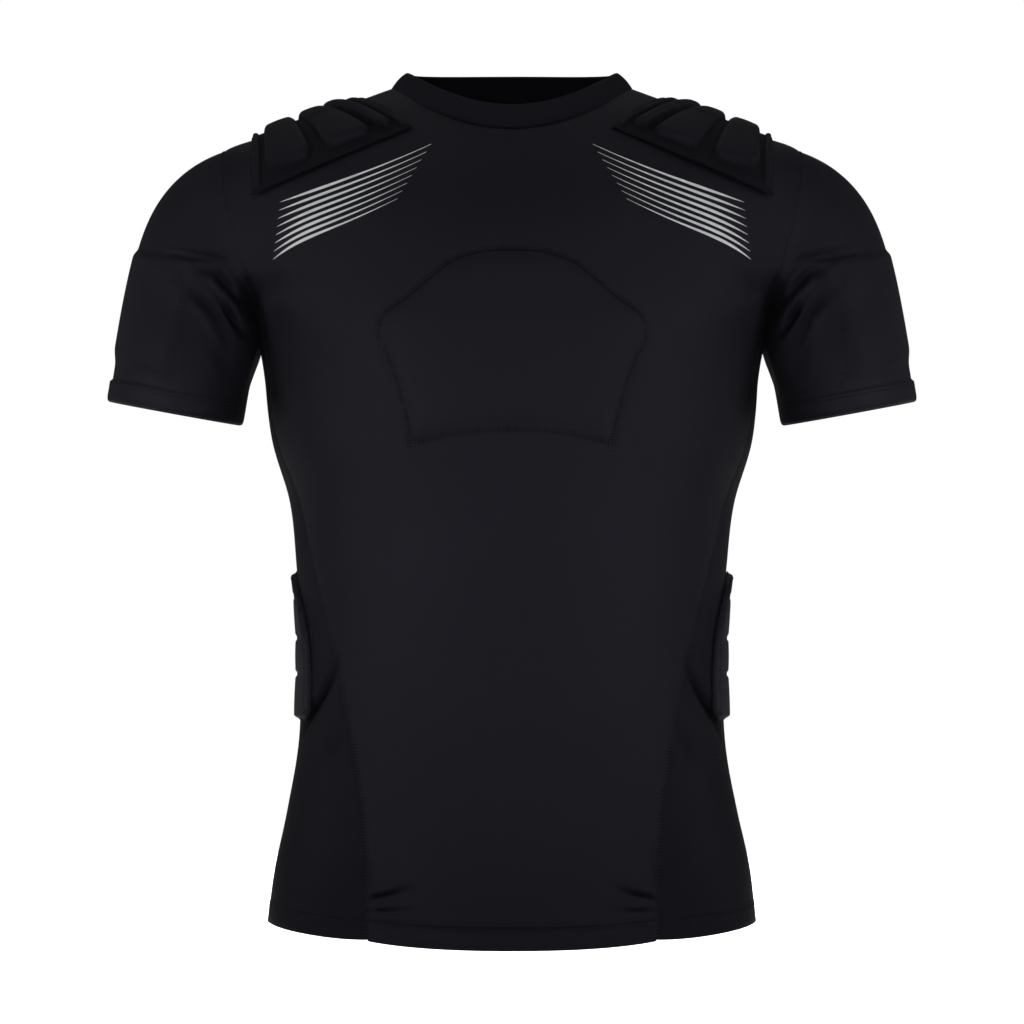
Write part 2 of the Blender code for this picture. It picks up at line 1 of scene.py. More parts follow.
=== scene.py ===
"""Padded rugby vest: its cloth, pads, sewing, printed stripes and stage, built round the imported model.

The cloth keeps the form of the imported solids. The torso is one smooth surface: an angle runs round it,
0 at the front centre and 90 degrees at the side, and a station runs up it in metres from the hem. Every
panel is a stretch of that surface with its creases, hems and seams worked into it.
"""

import math
from collections import namedtuple
from functools import lru_cache, partial

import bpy
import numpy as np
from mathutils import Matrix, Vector
from mathutils.bvhtree import BVHTree
from mathutils.kdtree import KDTree


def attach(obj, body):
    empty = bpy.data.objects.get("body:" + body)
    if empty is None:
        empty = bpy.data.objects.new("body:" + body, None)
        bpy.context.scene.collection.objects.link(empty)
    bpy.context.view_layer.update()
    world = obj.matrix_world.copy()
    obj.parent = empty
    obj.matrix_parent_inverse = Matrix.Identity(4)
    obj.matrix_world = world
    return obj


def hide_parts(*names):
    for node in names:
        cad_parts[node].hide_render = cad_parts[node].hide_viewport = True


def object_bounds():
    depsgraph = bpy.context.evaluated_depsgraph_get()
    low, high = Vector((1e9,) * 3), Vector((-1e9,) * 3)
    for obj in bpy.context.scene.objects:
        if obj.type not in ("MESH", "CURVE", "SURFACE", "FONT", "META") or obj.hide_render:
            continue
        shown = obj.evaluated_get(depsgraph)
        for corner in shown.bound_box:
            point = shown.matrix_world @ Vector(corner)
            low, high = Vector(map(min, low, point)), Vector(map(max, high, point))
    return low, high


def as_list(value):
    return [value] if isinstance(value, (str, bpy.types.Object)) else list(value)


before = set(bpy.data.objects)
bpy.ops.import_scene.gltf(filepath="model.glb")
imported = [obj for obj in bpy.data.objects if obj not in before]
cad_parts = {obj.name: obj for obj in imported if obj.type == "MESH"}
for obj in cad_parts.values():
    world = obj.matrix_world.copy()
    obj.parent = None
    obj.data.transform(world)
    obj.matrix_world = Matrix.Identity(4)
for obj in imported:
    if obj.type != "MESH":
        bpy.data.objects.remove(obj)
CAD_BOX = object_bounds()

bl_info = {
    "name": "Padded rugby vest",
    "version": (1, 0, 0),
    "blender": (4, 5, 0),
    "location": "View3D > Sidebar > Vest",
    "description": "Makes the cloth, pads, sewing and stage of a padded rugby vest",
    "category": "Add Mesh",
}

# Torso sections, from the hem to the neck seam. Their columns are named below
TORSO = np.array((
    (0.000, -0.6875, -0.6750, -0.6880, 0.1980, 0.1220, 0.1210, 2.30, 31.8),
    (0.045, -0.6395, -0.6330, -0.6400, 0.1930, 0.1190, 0.1180, 2.30, 33.0),
    (0.095, -0.5870, -0.5845, -0.5870, 0.1830, 0.1140, 0.1110, 2.30, 36.4),
    (0.150, -0.5300, -0.5300, -0.5300, 0.1735, 0.1090, 0.1040, 2.30, 43.2),
    (0.230, -0.4500, -0.4500, -0.4500, 0.1705, 0.1100, 0.1010, 2.30, 54.0),
    (0.295, -0.3850, -0.3850, -0.3850, 0.1748, 0.1140, 0.1040, 2.30, 63.4),
    (0.345, -0.3350, -0.3350, -0.3350, 0.1803, 0.1180, 0.1090, 2.30, 69.2),
    (0.395, -0.2850, -0.2850, -0.2850, 0.1950, 0.1230, 0.1150, 2.25, 75.0),
    (0.468, -0.2070, -0.2060, -0.2070, 0.2065, 0.1270, 0.1200, 2.20, 80.0),
    (0.520, -0.1810, -0.1580, -0.1750, 0.2345, 0.1258, 0.1203, 1.90, 80.0),
    (0.577, -0.1510, -0.1030, -0.1400, 0.2555, 0.1215, 0.1180, 1.71, 80.0),
    (0.606, -0.1340, -0.0740, -0.1190, 0.2500, 0.1182, 0.1150, 1.71, 80.0),
    (0.630, -0.1200, -0.0500, -0.1030, 0.2345, 0.1150, 0.1120, 1.73, 80.0),
    (0.660, -0.1035, -0.0388, -0.0820, 0.2060, 0.1100, 0.1065, 1.83, 80.0),
    (0.702, -0.0800, -0.0235, -0.0530, 0.1660, 0.1010, 0.0965, 1.91, 80.0),
    (0.775, -0.0380, 0.0010, -0.0030, 0.0980, 0.0800, 0.0720, 2.00, 80.0),
))
STATION, FRONT_Z, SIDE_Z, BACK_Z, HALF_WIDTH, FRONT_DEPTH, BACK_DEPTH, SQUARENESS, SEAM_ANGLE = range(9)
STATIONS = TORSO[:, STATION]
ARMPIT, SHOULDER_POINT, NECK = 0.468, 0.630, 0.775
HALVINGS = 36

# Armhole and sleeve
ARMHOLE_DEPTH, ARMHOLE_WIDEST, ARMHOLE_LOW_REACH = 0.052, 0.42, 0.5
CUFF_CENTRE = np.array((0.2728, -0.005, -0.263))
CUFF_LEAN = math.radians(10.3)
CUFF_HALF_WIDTH, CUFF_HALF_DEPTH = 0.0551, 0.0565
# Turned-up cuff: depth, how proud it stands, and the gap to the sleeve's own rows
CUFF_HEM, CUFF_PROUD, CUFF_ROW_GAP = 0.0145, 0.002, 0.001
# Over how much of its end the cuff rounds in, and how far
CUFF_ROUND = (0.0044, 0.0017)
CUFF_ROWS = (0.0, 0.07, 0.14, 0.3, 0.5, 0.69, 0.78, 0.86, 0.92, 0.965, 1.0)
SLEEVE_TOP_SLOPE, SLEEVE_UNDERARM_SLOPE = math.radians(18), math.radians(79)
SLEEVE_LEAVE, SLEEVE_ARRIVE, SLEEVE_FRONT_LEAN = 1.05, 1.3, 0.15
SLEEVE_PAD_START, SLEEVE_PAD_EDGE = math.radians(92), math.radians(14)
SLEEVE_PAD_ALONG, SLEEVE_PAD_SLOPE = (0.45, 0.9), 0.06
# Line (x, z) of the cloth's step over the pad's upper edge, and the height of this step
SLEEVE_PAD_TOP = np.array(((0.256, -0.1405), (0.274, -0.1362), (0.29, -0.134), (0.302, -0.129)))
SLEEVE_PAD_STEP = 0.007
# Painted shade on the underarm, facing the body, and the cosines of the turn between which this sets in
UNDERARM_PAINTED_SHADE, UNDERARM_STRETCH = 0.38, (0.1, 0.9)
SLEEVE_PAD_THICK, SLEEVE_PAD_LIFT = 0.005, 0.0025
SLEEVE_PAD_GAP, SLEEVE_PAD_RIM, SLEEVE_PAD_ROUND = 0.0003, 0.0012, 0.01
# How far from the sleeve's side line and from its end its creases set in
SLEEVE_CREASE_FADE = (0.014, 0.02)

# Neckband: the line of its upper edge, as a torso section
RIM = np.array((0, -0.0185, 0.0138, 0.0175, 0.0865, 0.069, 0.064, 2.00, 0))
# Its swell, its dip at the middle of its seam, the height shares of this dip and of the painted shade
# there, its part of the cloth's unevenness and its gap at the seam
NECKBAND_SWELL, NECKBAND_DIP, NECKBAND_DIP_SHARE = 0.0048, 0.0006, 0.09
NECKBAND_DARK_SHARE, NECKBAND_UNEVEN, NECKBAND_GAP = 0.06, 0.6, 0.0001
# Turns of the rows over the band's fold, and their step on the flat cloth
ROLL_TURNS, ROLL_STEP = (0.45, 0.9, 1.35), 0.0008
# Step down the torso that gives the way up at the neck seam
NECK_STEP = 0.004

# Hem of the body: its depth, how proud it stands and over what height it steps back
HEM, HEM_PROUD, HEM_STEP = 0.018, 0.0008, 0.002
# Stitched groove along the hem's top: depth on front and back and on the sides, place below the top, width
HEM_GROOVE, SIDE_HEM_GROOVE, HEM_GROOVE_BELOW, HEM_GROOVE_WIDTH = 0.0008, 0.0003, 0.002, 0.001
# Rise of the front's hem: all along, and more at a distance from the middle, with the reach of this
HEM_RISE = (0.001, 0.0026, 0.1135, 0.03)
# Over what depth from the side line, and what height, this sets in
HEM_RISE_FRONT, HEM_RISE_HEIGHT = 0.03, 0.05
# How much more the side panels are drawn up at these seams
SIDE_HEM_STEP = 0.0012
# Dip and painted shade at the neck seam, painted shade below the top of the hem, and their reaches
NECK_DIP, NECK_DIP_REACH = 0.0009, 0.0018
NECK_PAINTED_SHADE, NECK_DARK_REACH = 0.6, 0.003
HEM_PAINTED_SHADE, HEM_DARK_BELOW, HEM_DARK_REACH = 0.5, 0.0012, 0.0006
# Cosines of the angle between which the line of the neck seam sets in
NECK_FRONT = (0.45, 0.95)

# Chest pad behind the front: height and half width, from its lower to its upper edge
CHEST_PAD = np.array((
    (-0.289, 0.0776), (-0.242, 0.0895), (-0.219, 0.099), (-0.204, 0.106),
    (-0.191, 0.106), (-0.183, 0.099), (-0.154, 0.0606), (-0.134, 0.025),
))
CHEST_ARCH, CHEST_ARCH_REACH = 0.0105, 0.045
# Sewn line round the chest pad: half width and height, from the lower corner to the top
CHEST_SEAM = np.array((
    (0.0786, -0.289), (0.0826, -0.271), (0.0903, -0.2412), (0.099, -0.219), (0.104, -0.2115),
    (0.1056, -0.204), (0.1048, -0.195), (0.1015, -0.1862), (0.0945, -0.1808), (0.084, -0.1735),
    (0.0742, -0.1645), (0.063, -0.1552), (0.0512, -0.146), (0.0385, -0.14), (0.0245, -0.1362),
    (0.012, -0.1353), (0.0000, -0.1351),
))
CHEST_PAD_GAP, CHEST_PAD_THICK, CHEST_PAD_EDGE, CHEST_PAD_ROUND = 0.0009, 0.006, 0.002, 0.011
CHEST_STITCH, TACK_SIZE, TACK_THREADS = 0.0042, 0.008, (-1, -0.33, 0.33, 1)
CHEST_EDGE_WIDTH, CHEST_EDGE_INSET = (0.0008, 0.0009), 0.0026
# The sunken edge across: place in widths and height, then its underside's depth and its steps on the flat
CHEST_EDGE_ROWS, CHEST_EDGE_DEPTH = ((-0.5, 0.00005), (0, 0.00016), (0.5, 0.00005)), 0.0003
CHEST_EDGE_FLAT = (0.001, 0.0022)
# Groove round the chest pad: depth at its foot and upper edge, width, and the heights between these two
CHEST_GROOVE, CHEST_GROOVE_WIDTH, CHEST_UPPER = (0.0009, 0.0005), 0.0026, (-0.2, -0.165)
# Where the chest pad may move the front (half width, lowest, highest), and how far the swell takes to rise
CHEST_NEAR, CHEST_SWELL_REACH = (0.13, -0.32, -0.1), 0.014
CHEST_FOOT_POINTS, CHEST_TEST_POINTS, CHEST_SEWN_POINTS = 24, 120, 300

# Shoulder pad: ends on the shoulder line, corners (x, z) on the front and the back
PAD_OUTER_X, PAD_INNER_X = 0.211, 0.124
PAD_FRONT = np.array(((0.207, -0.091), (0.079, -0.037)))
PAD_BACK = np.array(((0.205, -0.086), (0.084, -0.03)))
PAD_CURVE, PAD_LOWEST = 1.5, SHOULDER_POINT - 0.03
PAD_GAP, PAD_CORNER_GAP = 0.001, 0.0029
PAD_FLANGE, PAD_BLOCK = 0.0013, 0.007

# Rib pad on the side panel: foot, height and half width, how its outline rounds in towards the top, how far
# its lower corners are drawn in and over what share of its height, and the share at which its top begins
RIB_FOOT, RIB_HEIGHT, RIB_HALF = -0.511, 0.12, 0.047
RIB_TAPER, RIB_BLUNT = 3.2, 0.62
RIB_CORNER, RIB_CORNER_RISE, RIB_SHOULDER = 0.17, 0.09, 0.86
RIB_GROOVES = (-0.4745, -0.445, -0.411)
RIB_GAP, RIB_FLANGE, RIB_BLOCK = 0.0006, 0.0016, 0.0048
# The rib blocks' swell as a share of the shoulder pads', and how far past its top the last one runs on
RIB_CROWN_SHARE, RIB_TOP_MORE = 0.5, 0.01
# How far panels reach past their seams, how far they sink there and over what distance
SEAM_OVERLAP, SEAM_DIP, SEAM_DIP_REACH = 0.0001, 0.0004, 0.0028

# Creases as seen from the front or the back: path of (x, z), depth, half width, the share of the depth by
# which the cloth rises beside the trough, where along the path it is deepest, and its painted shade there
Crease = namedtuple("Crease", "path depth width rise peak dark", defaults=(0.2,))
# The rise's distance from the trough and its width, in half widths of the crease
RIDGE_AWAY, RIDGE_WIDTH = 2.0, 0.9
FRONT_CREASES = (
    Crease(((0.1335, -0.446), (0.1405, -0.4661), (0.149, -0.4846), (0.157, -0.4976), (0.1635, -0.508),
            (0.173, -0.53), (0.178, -0.542)), 0.0048, 0.0032, 0.1, 0.5, 0.85),
    Crease(((0.131, -0.51), (0.14, -0.53), (0.148, -0.55)), 0.0012, 0.006, 0.3, 0.5),
    Crease(((0.1165, -0.648), (0.1, -0.644), (0.066, -0.633)), 0.0026, 0.0018, 0.4, 0.2, 0.5),
    Crease(((0.1165, -0.6584), (0.098, -0.6566), (0.064, -0.654)), 0.0016, 0.0014, 0.4, 0.24, 0.34),
    Crease(((0.123, -0.632), (0.116, -0.628), (0.106, -0.62)), 0.0006, 0.0045, 0.5, 0.4),
    Crease(((0.207, -0.176), (0.188, -0.16), (0.166, -0.152)), 0.0018, 0.008, 0.35, 0.3),
    Crease(((0.199, -0.226), (0.19, -0.244), (0.182, -0.268)), 0.002, 0.0075, 0.3, 0.4),
)
BACK_CREASES = (
    Crease(((0.139, -0.456), (0.153, -0.488), (0.168, -0.528)), 0.0056, 0.0036, 0.25, 0.6, 0.6),
    Crease(((-0.136, -0.462), (-0.15, -0.493), (-0.166, -0.536)), 0.006, 0.0034, 0.25, 0.6, 0.6),
    Crease(((0.12, -0.65), (0.102, -0.647), (0.08, -0.641)), 0.0024, 0.0022, 0.4, 0.2, 0.5),
    Crease(((-0.122, -0.657), (-0.098, -0.654), (-0.078, -0.65)), 0.0026, 0.002, 0.4, 0.2, 0.5),
    Crease(((0.204, -0.172), (0.186, -0.158), (0.16, -0.15)), 0.0022, 0.0085, 0.35, 0.3),
    Crease(((-0.205, -0.178), (-0.184, -0.166), (-0.158, -0.163)), 0.002, 0.0085, 0.35, 0.3),
    Crease(((0.128, -0.402), (0.07, -0.416), (0.012, -0.408)), 0.0016, 0.012, 0.4, 0.5),
    Crease(((-0.124, -0.43), (-0.08, -0.438), (-0.026, -0.432)), 0.0015, 0.011, 0.4, 0.5),
    Crease(((-0.196, -0.23), (-0.186, -0.252), (-0.178, -0.28)), 0.0018, 0.008, 0.3, 0.4),
    Crease(((0.198, -0.224), (0.189, -0.246), (0.183, -0.266)), 0.002, 0.0075, 0.3, 0.4),
)
SLEEVE_FRONT_CREASES = (
    Crease(((0.292, -0.1345), (0.274, -0.1362), (0.256, -0.14), (0.226, -0.142)),
           0.0015, 0.0017, 0.8, 0.5, 0.35),
    Crease(((0.264, -0.1305), (0.248, -0.1345), (0.23, -0.1385), (0.216, -0.144)),
           0.0014, 0.0018, 0.7, 0.5, 0.3),
    Crease(((0.259, -0.147), (0.237, -0.1515), (0.225, -0.165), (0.216, -0.179)),
           0.0038, 0.0034, 0.4, 0.6, 0.4),
    Crease(((0.264, -0.16), (0.25, -0.17), (0.236, -0.185), (0.228, -0.208), (0.223, -0.23)),
           0.0036, 0.004, 0.4, 0.45, 0.3),
    Crease(((0.244, -0.2), (0.233, -0.218), (0.224, -0.24)), 0.0014, 0.005, 0.4, 0.5),
    Crease(((0.238, -0.169), (0.229, -0.179), (0.22, -0.193), (0.21, -0.208)),
           0.008, 0.0036, 0.25, 0.45, 0.7),
)
SLEEVE_BACK_CREASES = (
    Crease(((0.29, -0.136), (0.272, -0.1385), (0.252, -0.1425), (0.224, -0.143)), 0.0016, 0.002, 0.7, 0.5),
    Crease(((0.26, -0.15), (0.242, -0.154), (0.227, -0.165), (0.215, -0.18)), 0.0038, 0.0044, 0.5, 0.6),
    Crease(((0.256, -0.168), (0.244, -0.184), (0.232, -0.204), (0.221, -0.23)), 0.0038, 0.005, 0.5, 0.45),
    Crease(((0.236, -0.173), (0.228, -0.182), (0.219, -0.195), (0.21, -0.209)), 0.0085, 0.0044, 0.35, 0.5),
)
# Over what depth from the side line the body's creases set in
SIDE_FADE = 0.02
# Slow swells of worn cloth: their height, and each wave's turns along x, y and z, phase and share
SWELL = 0.00022
SWELL_WAVES = (
    ((31, 0, 17), 1.3, 1.0), ((-23, 12, 41), 0.4, 1.0), ((67, -29, 21), 2.1, 0.7), ((-38, 83, 55), 0.0, 0.5),
)

# Deep fold at the armpit: share by which the armhole's lower end is pinched together, the most that this
# may be, the heights between which it sets in, its reach and how steep it is
ARMPIT_PINCH, ARMPIT_MOST, ARMPIT_HEIGHTS = 0.64, 0.03, (-0.15, -0.178)
ARMPIT_REACH, ARMPIT_STEEP = 0.019, 1.7
# Painted shade of this fold, its reach at its upper and its lower end, and the heights of these
ARMPIT_PAINTED_SHADE, ARMPIT_DARK_REACH, ARMPIT_DARK_HEIGHTS = 0.8, (0.0064, 0.0125), (-0.165, -0.2)
# Soft rounding along the rest of the armhole: height, reach, way (outwards, forwards, up), and over what
# depth from the shoulder seam it sets in
ARMHOLE_FILL, ARMHOLE_FILL_REACH, ARMHOLE_FILL_WAY = 0.0032, 0.022, (0.35, 0.9, 0.25)
ARMHOLE_FILL_FADE = 0.03
# Where cloth may be near an armhole (distance from the middle, lowest), and how near to it the seam holds it
ARMHOLE_NEAR, ARMHOLE_HOLD = (0.13, -0.29), 0.012
ARMHOLE_POINTS, ARMHOLE_RISE_POINTS, UNDERARM_POINTS = 1200, 120, 20

# Stripes: ends of the first and the last one, where they show from the front on the left side
STRIPE_COUNT, STRIPE_STEPS = 8, 46
STRIPE_INNER = np.array(((0.0659, -0.0436), (0.0932, -0.0879)))
STRIPE_OUTER = np.array(((0.1888, -0.0908), (0.1945, -0.1374)))
# Sag of the first stripe and bow of the last one: height, and how far its peak leans to an end
STRIPE_SAG, STRIPE_BOW = (0.0018, 0.8), (0.0034, 2.4)
# Where the first and the last stripe are widest, and how much wider the last one is
STRIPE_WIDEST_AT, STRIPE_WIDEN = (0.71, 0.72), 0.1
# Width shares at the inner and outer tip, and how roundly a stripe widens and narrows
STRIPE_TIPS, STRIPE_GROWTH, STRIPE_FALL = (0.07, 0.05), 1.15, 0.9
# Heights of the print's upper face and of its underside above the cloth
STRIPE_FACES = (0.00032, 0.00004)
# Share of its thickness that a free edge keeps in its last row, and how far this reaches out
EDGE_KEEPS, EDGE_REACH = 0.35, 0.42

# Grids: rows follow the hem, the folds above the hips, the chest pad and the shoulders
HEM_ROWS = (0.0, 0.005, 0.01, 0.014, 0.0152, 0.016, 0.0168, 0.0178, 0.019, 0.0205)
TUCKS = (0.0205, 0.052)
HIP_FOLDS, CHEST_ROWS = (0.125, 0.235), (0.356, 0.6)
BODY_STEP, TUCK_STEP, FOLD_STEP, CHEST_STEP, SHOULDER_STEP = 0.0046, 0.0012, 0.0026, 0.0028, 0.0036
NECK_SEAM_ROWS = (0.769, 0.7715, 0.773, 0.774)
FRONT_COLUMNS, BACK_COLUMNS, SIDE_COLUMNS = 178, 112, 76
EDGE_CROWDING = 0.18
SLEEVE_HALF_COLUMNS, SLEEVE_ROWS = 110, 104
NECK_COLUMNS, NECK_ROWS = 240, 10
SHARP = math.radians(55)
SIDES = (("left", 1), ("right", -1))
# Too small to matter, it keeps divisions from failing
TINY = 1e-12


def eased(share):
    """0 to 1 with a level start and end."""
    share = np.clip(share, 0.0, 1.0)
    return share * share * (3 - 2 * share)


def ramp(value, start, end):
    """0 before the start and 1 past the end, eased between them."""
    return eased((value - start) / (end - start))


def between(ends, share):
    """Value at a share of the way from the first of two ends to the second."""
    return ends[0] + (ends[1] - ends[0]) * share


def bell(distance, reach):
    """1 at no distance, fading out past the reach."""
    return np.exp(-((distance / reach) ** 2))


def hermite(start, leave, end, arrive, u):
    """Point at share u of a curve from start to end, with its two end slopes."""
    return (
        start * (2 * u**3 - 3 * u**2 + 1)
        + leave * (u**3 - 2 * u**2 + u)
        + end * (3 * u**2 - 2 * u**3)
        + arrive * (u**3 - u**2)
    )


def slopes_of(stations, values):
    """Slope at each station, from its neighbours."""
    after = np.minimum(np.arange(len(stations)) + 1, len(stations) - 1)
    before = np.maximum(np.arange(len(stations)) - 1, 0)
    return (values[after] - values[before]) / (stations[after] - stations[before])[:, None]


TORSO_SLOPES = slopes_of(STATIONS, TORSO)


def sections(station):
    """Torso sections at the given stations, on a smooth curve through the table's rows."""
    station = np.clip(station, STATIONS[0], STATIONS[-1])
    i = np.clip(np.searchsorted(STATIONS, station, side="right") - 1, 0, len(STATIONS) - 2)
    span = (STATIONS[i + 1] - STATIONS[i])[..., None]
    u = (station - STATIONS[i])[..., None] / span
    return hermite(TORSO[i], TORSO_SLOPES[i] * span, TORSO[i + 1], TORSO_SLOPES[i + 1] * span, u)


def signed_power(value, power):
    return np.sign(value) * np.abs(value) ** power


def ring_points(rows, angle):
    """Points of sections at angles: rounded ovals whose front, sides and back have their own heights."""
    across, ahead = np.sin(angle), np.cos(angle)
    power = 2 / rows[..., SQUARENESS]
    depth = np.where(ahead > 0, rows[..., FRONT_DEPTH], rows[..., BACK_DEPTH])
    level = np.where(ahead > 0, rows[..., FRONT_Z], rows[..., BACK_Z])
    x = rows[..., HALF_WIDTH] * signed_power(across, power)
    y = -depth * signed_power(ahead, power)
    z = level + (rows[..., SIDE_Z] - level) * across**2
    return np.stack((x, y, z), axis=-1)


def torso(angle, station):
    return ring_points(sections(station), angle)


def unit(vectors):
    return vectors / np.maximum(np.linalg.norm(vectors, axis=-1, keepdims=True), TINY)


def torso_normals(angle, station, turn=math.radians(0.5), rise=0.001):
    round_it = torso(angle + turn, station) - torso(angle - turn, station)
    up_it = torso(angle, np.minimum(station + rise, NECK)) - torso(angle, np.maximum(station - rise, 0.0))
    return unit(np.cross(round_it, up_it))


def torso_face(angle, station):
    """Points and normals of the torso."""
    return torso(angle, station), torso_normals(angle, station)


def halve(low, high, is_low):
    """Finds where a test turns from true to false, for whole arrays at once."""
    for _ in range(HALVINGS):
        middle = (low + high) / 2
        test = is_low(middle)
        low, high = np.where(test, middle, low), np.where(test, high, middle)
    return (low + high) / 2


def angle_at_x(rows, x):
    return np.arcsin(np.clip(x / rows[..., HALF_WIDTH], 0, 1) ** (rows[..., SQUARENESS] / 2))


def seen_at(x, z, back=False):
    """Angle and station of the torso point that shows at x, z (x positive) from the front or the back."""
    def angle_of(rows):
        angle = angle_at_x(rows, x)
        return np.pi - angle if back else angle

    def is_low(station):
        rows = sections(station)
        reaches = x < rows[..., HALF_WIDTH]
        return np.where(reaches, ring_points(rows, angle_of(rows))[..., 2] < z, station < SHOULDER_POINT)

    station = halve(np.zeros_like(x), np.full_like(x, NECK), is_low)
    return angle_of(sections(station)), station


def crease_lift(creases, across, height):
    """How far creases move the cloth, in along each trough and out beside it, and their painted shade."""
    lift, dark = np.zeros(across.shape), np.zeros(across.shape)
    for crease in creases:
        path = np.array(crease.path)
        lengths = arc_lengths(path, 0)
        nearest, share = np.full(across.shape, np.inf), np.zeros(across.shape)
        for k in range(len(path) - 1):
            part, away = from_run(path[k], path[k + 1], across, height)
            share = np.where(away < nearest, between(lengths[k:], part) / lengths[-1], share)
            nearest = np.minimum(nearest, away)
        strength = eased(share / crease.peak) * eased((1 - share) / (1 - crease.peak))
        trough = bell(nearest, crease.width)
        beside = bell(nearest - RIDGE_AWAY * crease.width, RIDGE_WIDTH * crease.width)
        lift += crease.depth * strength * (crease.rise * beside - trough)
        # Painted shade down in the trough
        dark = np.maximum(dark, crease.dark * strength * trough)
    return lift, dark


def fold_lift(front, back, points, share):
    """Lift and painted shade of creases: alike on both sides of the front, each its own on the back."""
    x, y, z = np.moveaxis(points, -1, 0)
    pairs = zip(crease_lift(front, np.abs(x), z), crease_lift(back, x, z))
    return [share * np.where(y < 0, *pair) for pair in pairs]


def unevenness(points):
    """Slow swells of worn cloth, a fraction of a millimetre high."""
    return SWELL * sum(share * np.sin(points @ np.array(way) + phase) for way, phase, share in SWELL_WAVES)


def chest_foot(x):
    """Height of the chest pad's arched lower edge."""
    return CHEST_PAD[0, 0] + CHEST_ARCH * (1 - np.minimum(1.0, np.abs(x) / CHEST_PAD[0, 1]) ** 2)


def chest_outline(count):
    """Points (x, z) round the chest pad, evenly spaced, from the middle of its lower edge."""
    foot_x = np.linspace(0, CHEST_SEAM[0, 0], CHEST_FOOT_POINTS)
    half = np.concatenate((np.stack((foot_x, chest_foot(foot_x)), axis=1), CHEST_SEAM[1:]))
    return evenly(np.concatenate((half, half[-2:0:-1] * (-1, 1), half[:1])), count, endpoint=False)


def inside_and_distance(outline, x, z):
    """Whether points lie inside a closed outline, and how far from it they are."""
    inside, nearest = np.zeros(x.shape, bool), np.full(x.shape, np.inf)
    for begin, end in zip(outline, np.roll(outline, -1, axis=0)):
        crosses = (begin[1] > z) != (end[1] > z)
        slant = (end[0] - begin[0]) / (end[1] - begin[1] + TINY)
        inside ^= crosses & (x < begin[0] + (z - begin[1]) * slant)
        nearest = np.minimum(nearest, from_run(begin, end, x, z)[1])
    return inside, nearest


def chest_lift(points, height):
    """The front stands out over the chest pad, with a stitched groove along the pad's edge."""
    x, z = points[..., 0], points[..., 2]
    half, lowest, highest = CHEST_NEAR
    near = (points[..., 1] < 0) & (np.abs(x) < half) & (z > lowest) & (z < highest)
    inside, away = inside_and_distance(chest_outline(CHEST_TEST_POINTS), x[near], z[near])
    groove = between(CHEST_GROOVE, ramp(z[near], *CHEST_UPPER)) * bell(away, CHEST_GROOVE_WIDTH)
    lift = np.zeros(x.shape)
    lift[near] = height * np.where(inside, eased(away / CHEST_SWELL_REACH), 0.0) - groove
    return lift


def hem_lift(station, groove):
    """The turned-up hem stands a little proud, with a stitched groove along its top."""
    proud = HEM_PROUD * groove / HEM_GROOVE * (1 - eased((station - HEM) / HEM_STEP))
    return proud - groove * bell(station - HEM + HEM_GROOVE_BELOW, HEM_GROOVE_WIDTH)


def hem_rise(points, station, more):
    """How far the front of the hem is drawn up: most at the side seams, where a panel adds its own share."""
    all_along, at_seam, seam_x, reach = HEM_RISE
    low = eased(-points[..., 1] / HEM_RISE_FRONT) * (1 - eased(station / HEM_RISE_HEIGHT))
    from_seam = np.abs(np.abs(points[..., 0]) - seam_x)
    return low * (all_along + (at_seam + more) * np.exp(-from_seam / reach))


def neck_line(angle, station, reach):
    """How near a place is to the neck seam (0 to 1), most at the middle of the front."""
    return ramp(np.cos(angle), *NECK_FRONT) * bell(NECK - station, reach)


def painted_line_shade(angle, station, hem_groove):
    """Painted shade along the top of the hem and along the neck seam."""
    hem = HEM_PAINTED_SHADE * hem_groove / HEM_GROOVE * bell(station - HEM + HEM_DARK_BELOW, HEM_DARK_REACH)
    return np.maximum(hem, NECK_PAINTED_SHADE * neck_line(angle, station, NECK_DARK_REACH))


def spaced(low, high, step):
    return np.linspace(low, high, max(2, int(round((high - low) / step)) + 1))


def body_stations(*upper):
    """Stations of a panel's rows: from the hem to the folds above the hips, then the upper stretches."""
    stretches = ((*TUCKS, TUCK_STEP), (TUCKS[1], HIP_FOLDS[0], BODY_STEP), (*HIP_FOLDS, FOLD_STEP), *upper)
    rows = np.concatenate((HEM_ROWS, *(spaced(*stretch) for stretch in stretches)))
    return np.unique(np.round(rows, 5))


def crowded(count):
    """Shares from -1 to 1, closer together near both ends."""
    share = np.linspace(-1, 1, count)
    return share * (1 + EDGE_CROWDING - EDGE_CROWDING * share**2)


def armhole_reach(station):
    """Depth of the armhole's edge, before or behind the shoulder seam."""
    height = (station - ARMPIT) / (SHOULDER_POINT - ARMPIT)
    span = np.where(height > ARMHOLE_WIDEST, 1 - ARMHOLE_WIDEST, ARMHOLE_LOW_REACH)
    share = np.minimum(1.0, np.abs(height - ARMHOLE_WIDEST) / span)
    return ARMHOLE_DEPTH * np.sqrt(1 - share**2)


def edge_angle(station, back=False):
    """Angle of a panel's edge: the side seam, then the armhole, then the shoulder seam."""
    rows = sections(station)
    share = np.clip(armhole_reach(station) / rows[..., BACK_DEPTH if back else FRONT_DEPTH], 0, 1)
    armhole = np.arccos(share ** (rows[..., SQUARENESS] / 2))
    angle = np.where(station <= ARMPIT, np.radians(rows[..., SEAM_ANGLE]), armhole)
    angle = np.where(station >= SHOULDER_POINT, np.pi / 2, angle)
    return np.pi - angle if back else angle


# Outer face of a cloth piece: points, normals, and the places on the flat cloth with painted shade (0 to 1)
Skin = namedtuple("Skin", "points normals flat")


def arc_lengths(points, axis):
    """Distances along a grid's or a path's lines."""
    steps = np.linalg.norm(np.diff(points, axis=axis), axis=-1)
    start = np.zeros_like(np.take(steps, [0], axis=axis))
    return np.concatenate((start, np.cumsum(steps, axis=axis)), axis=axis)


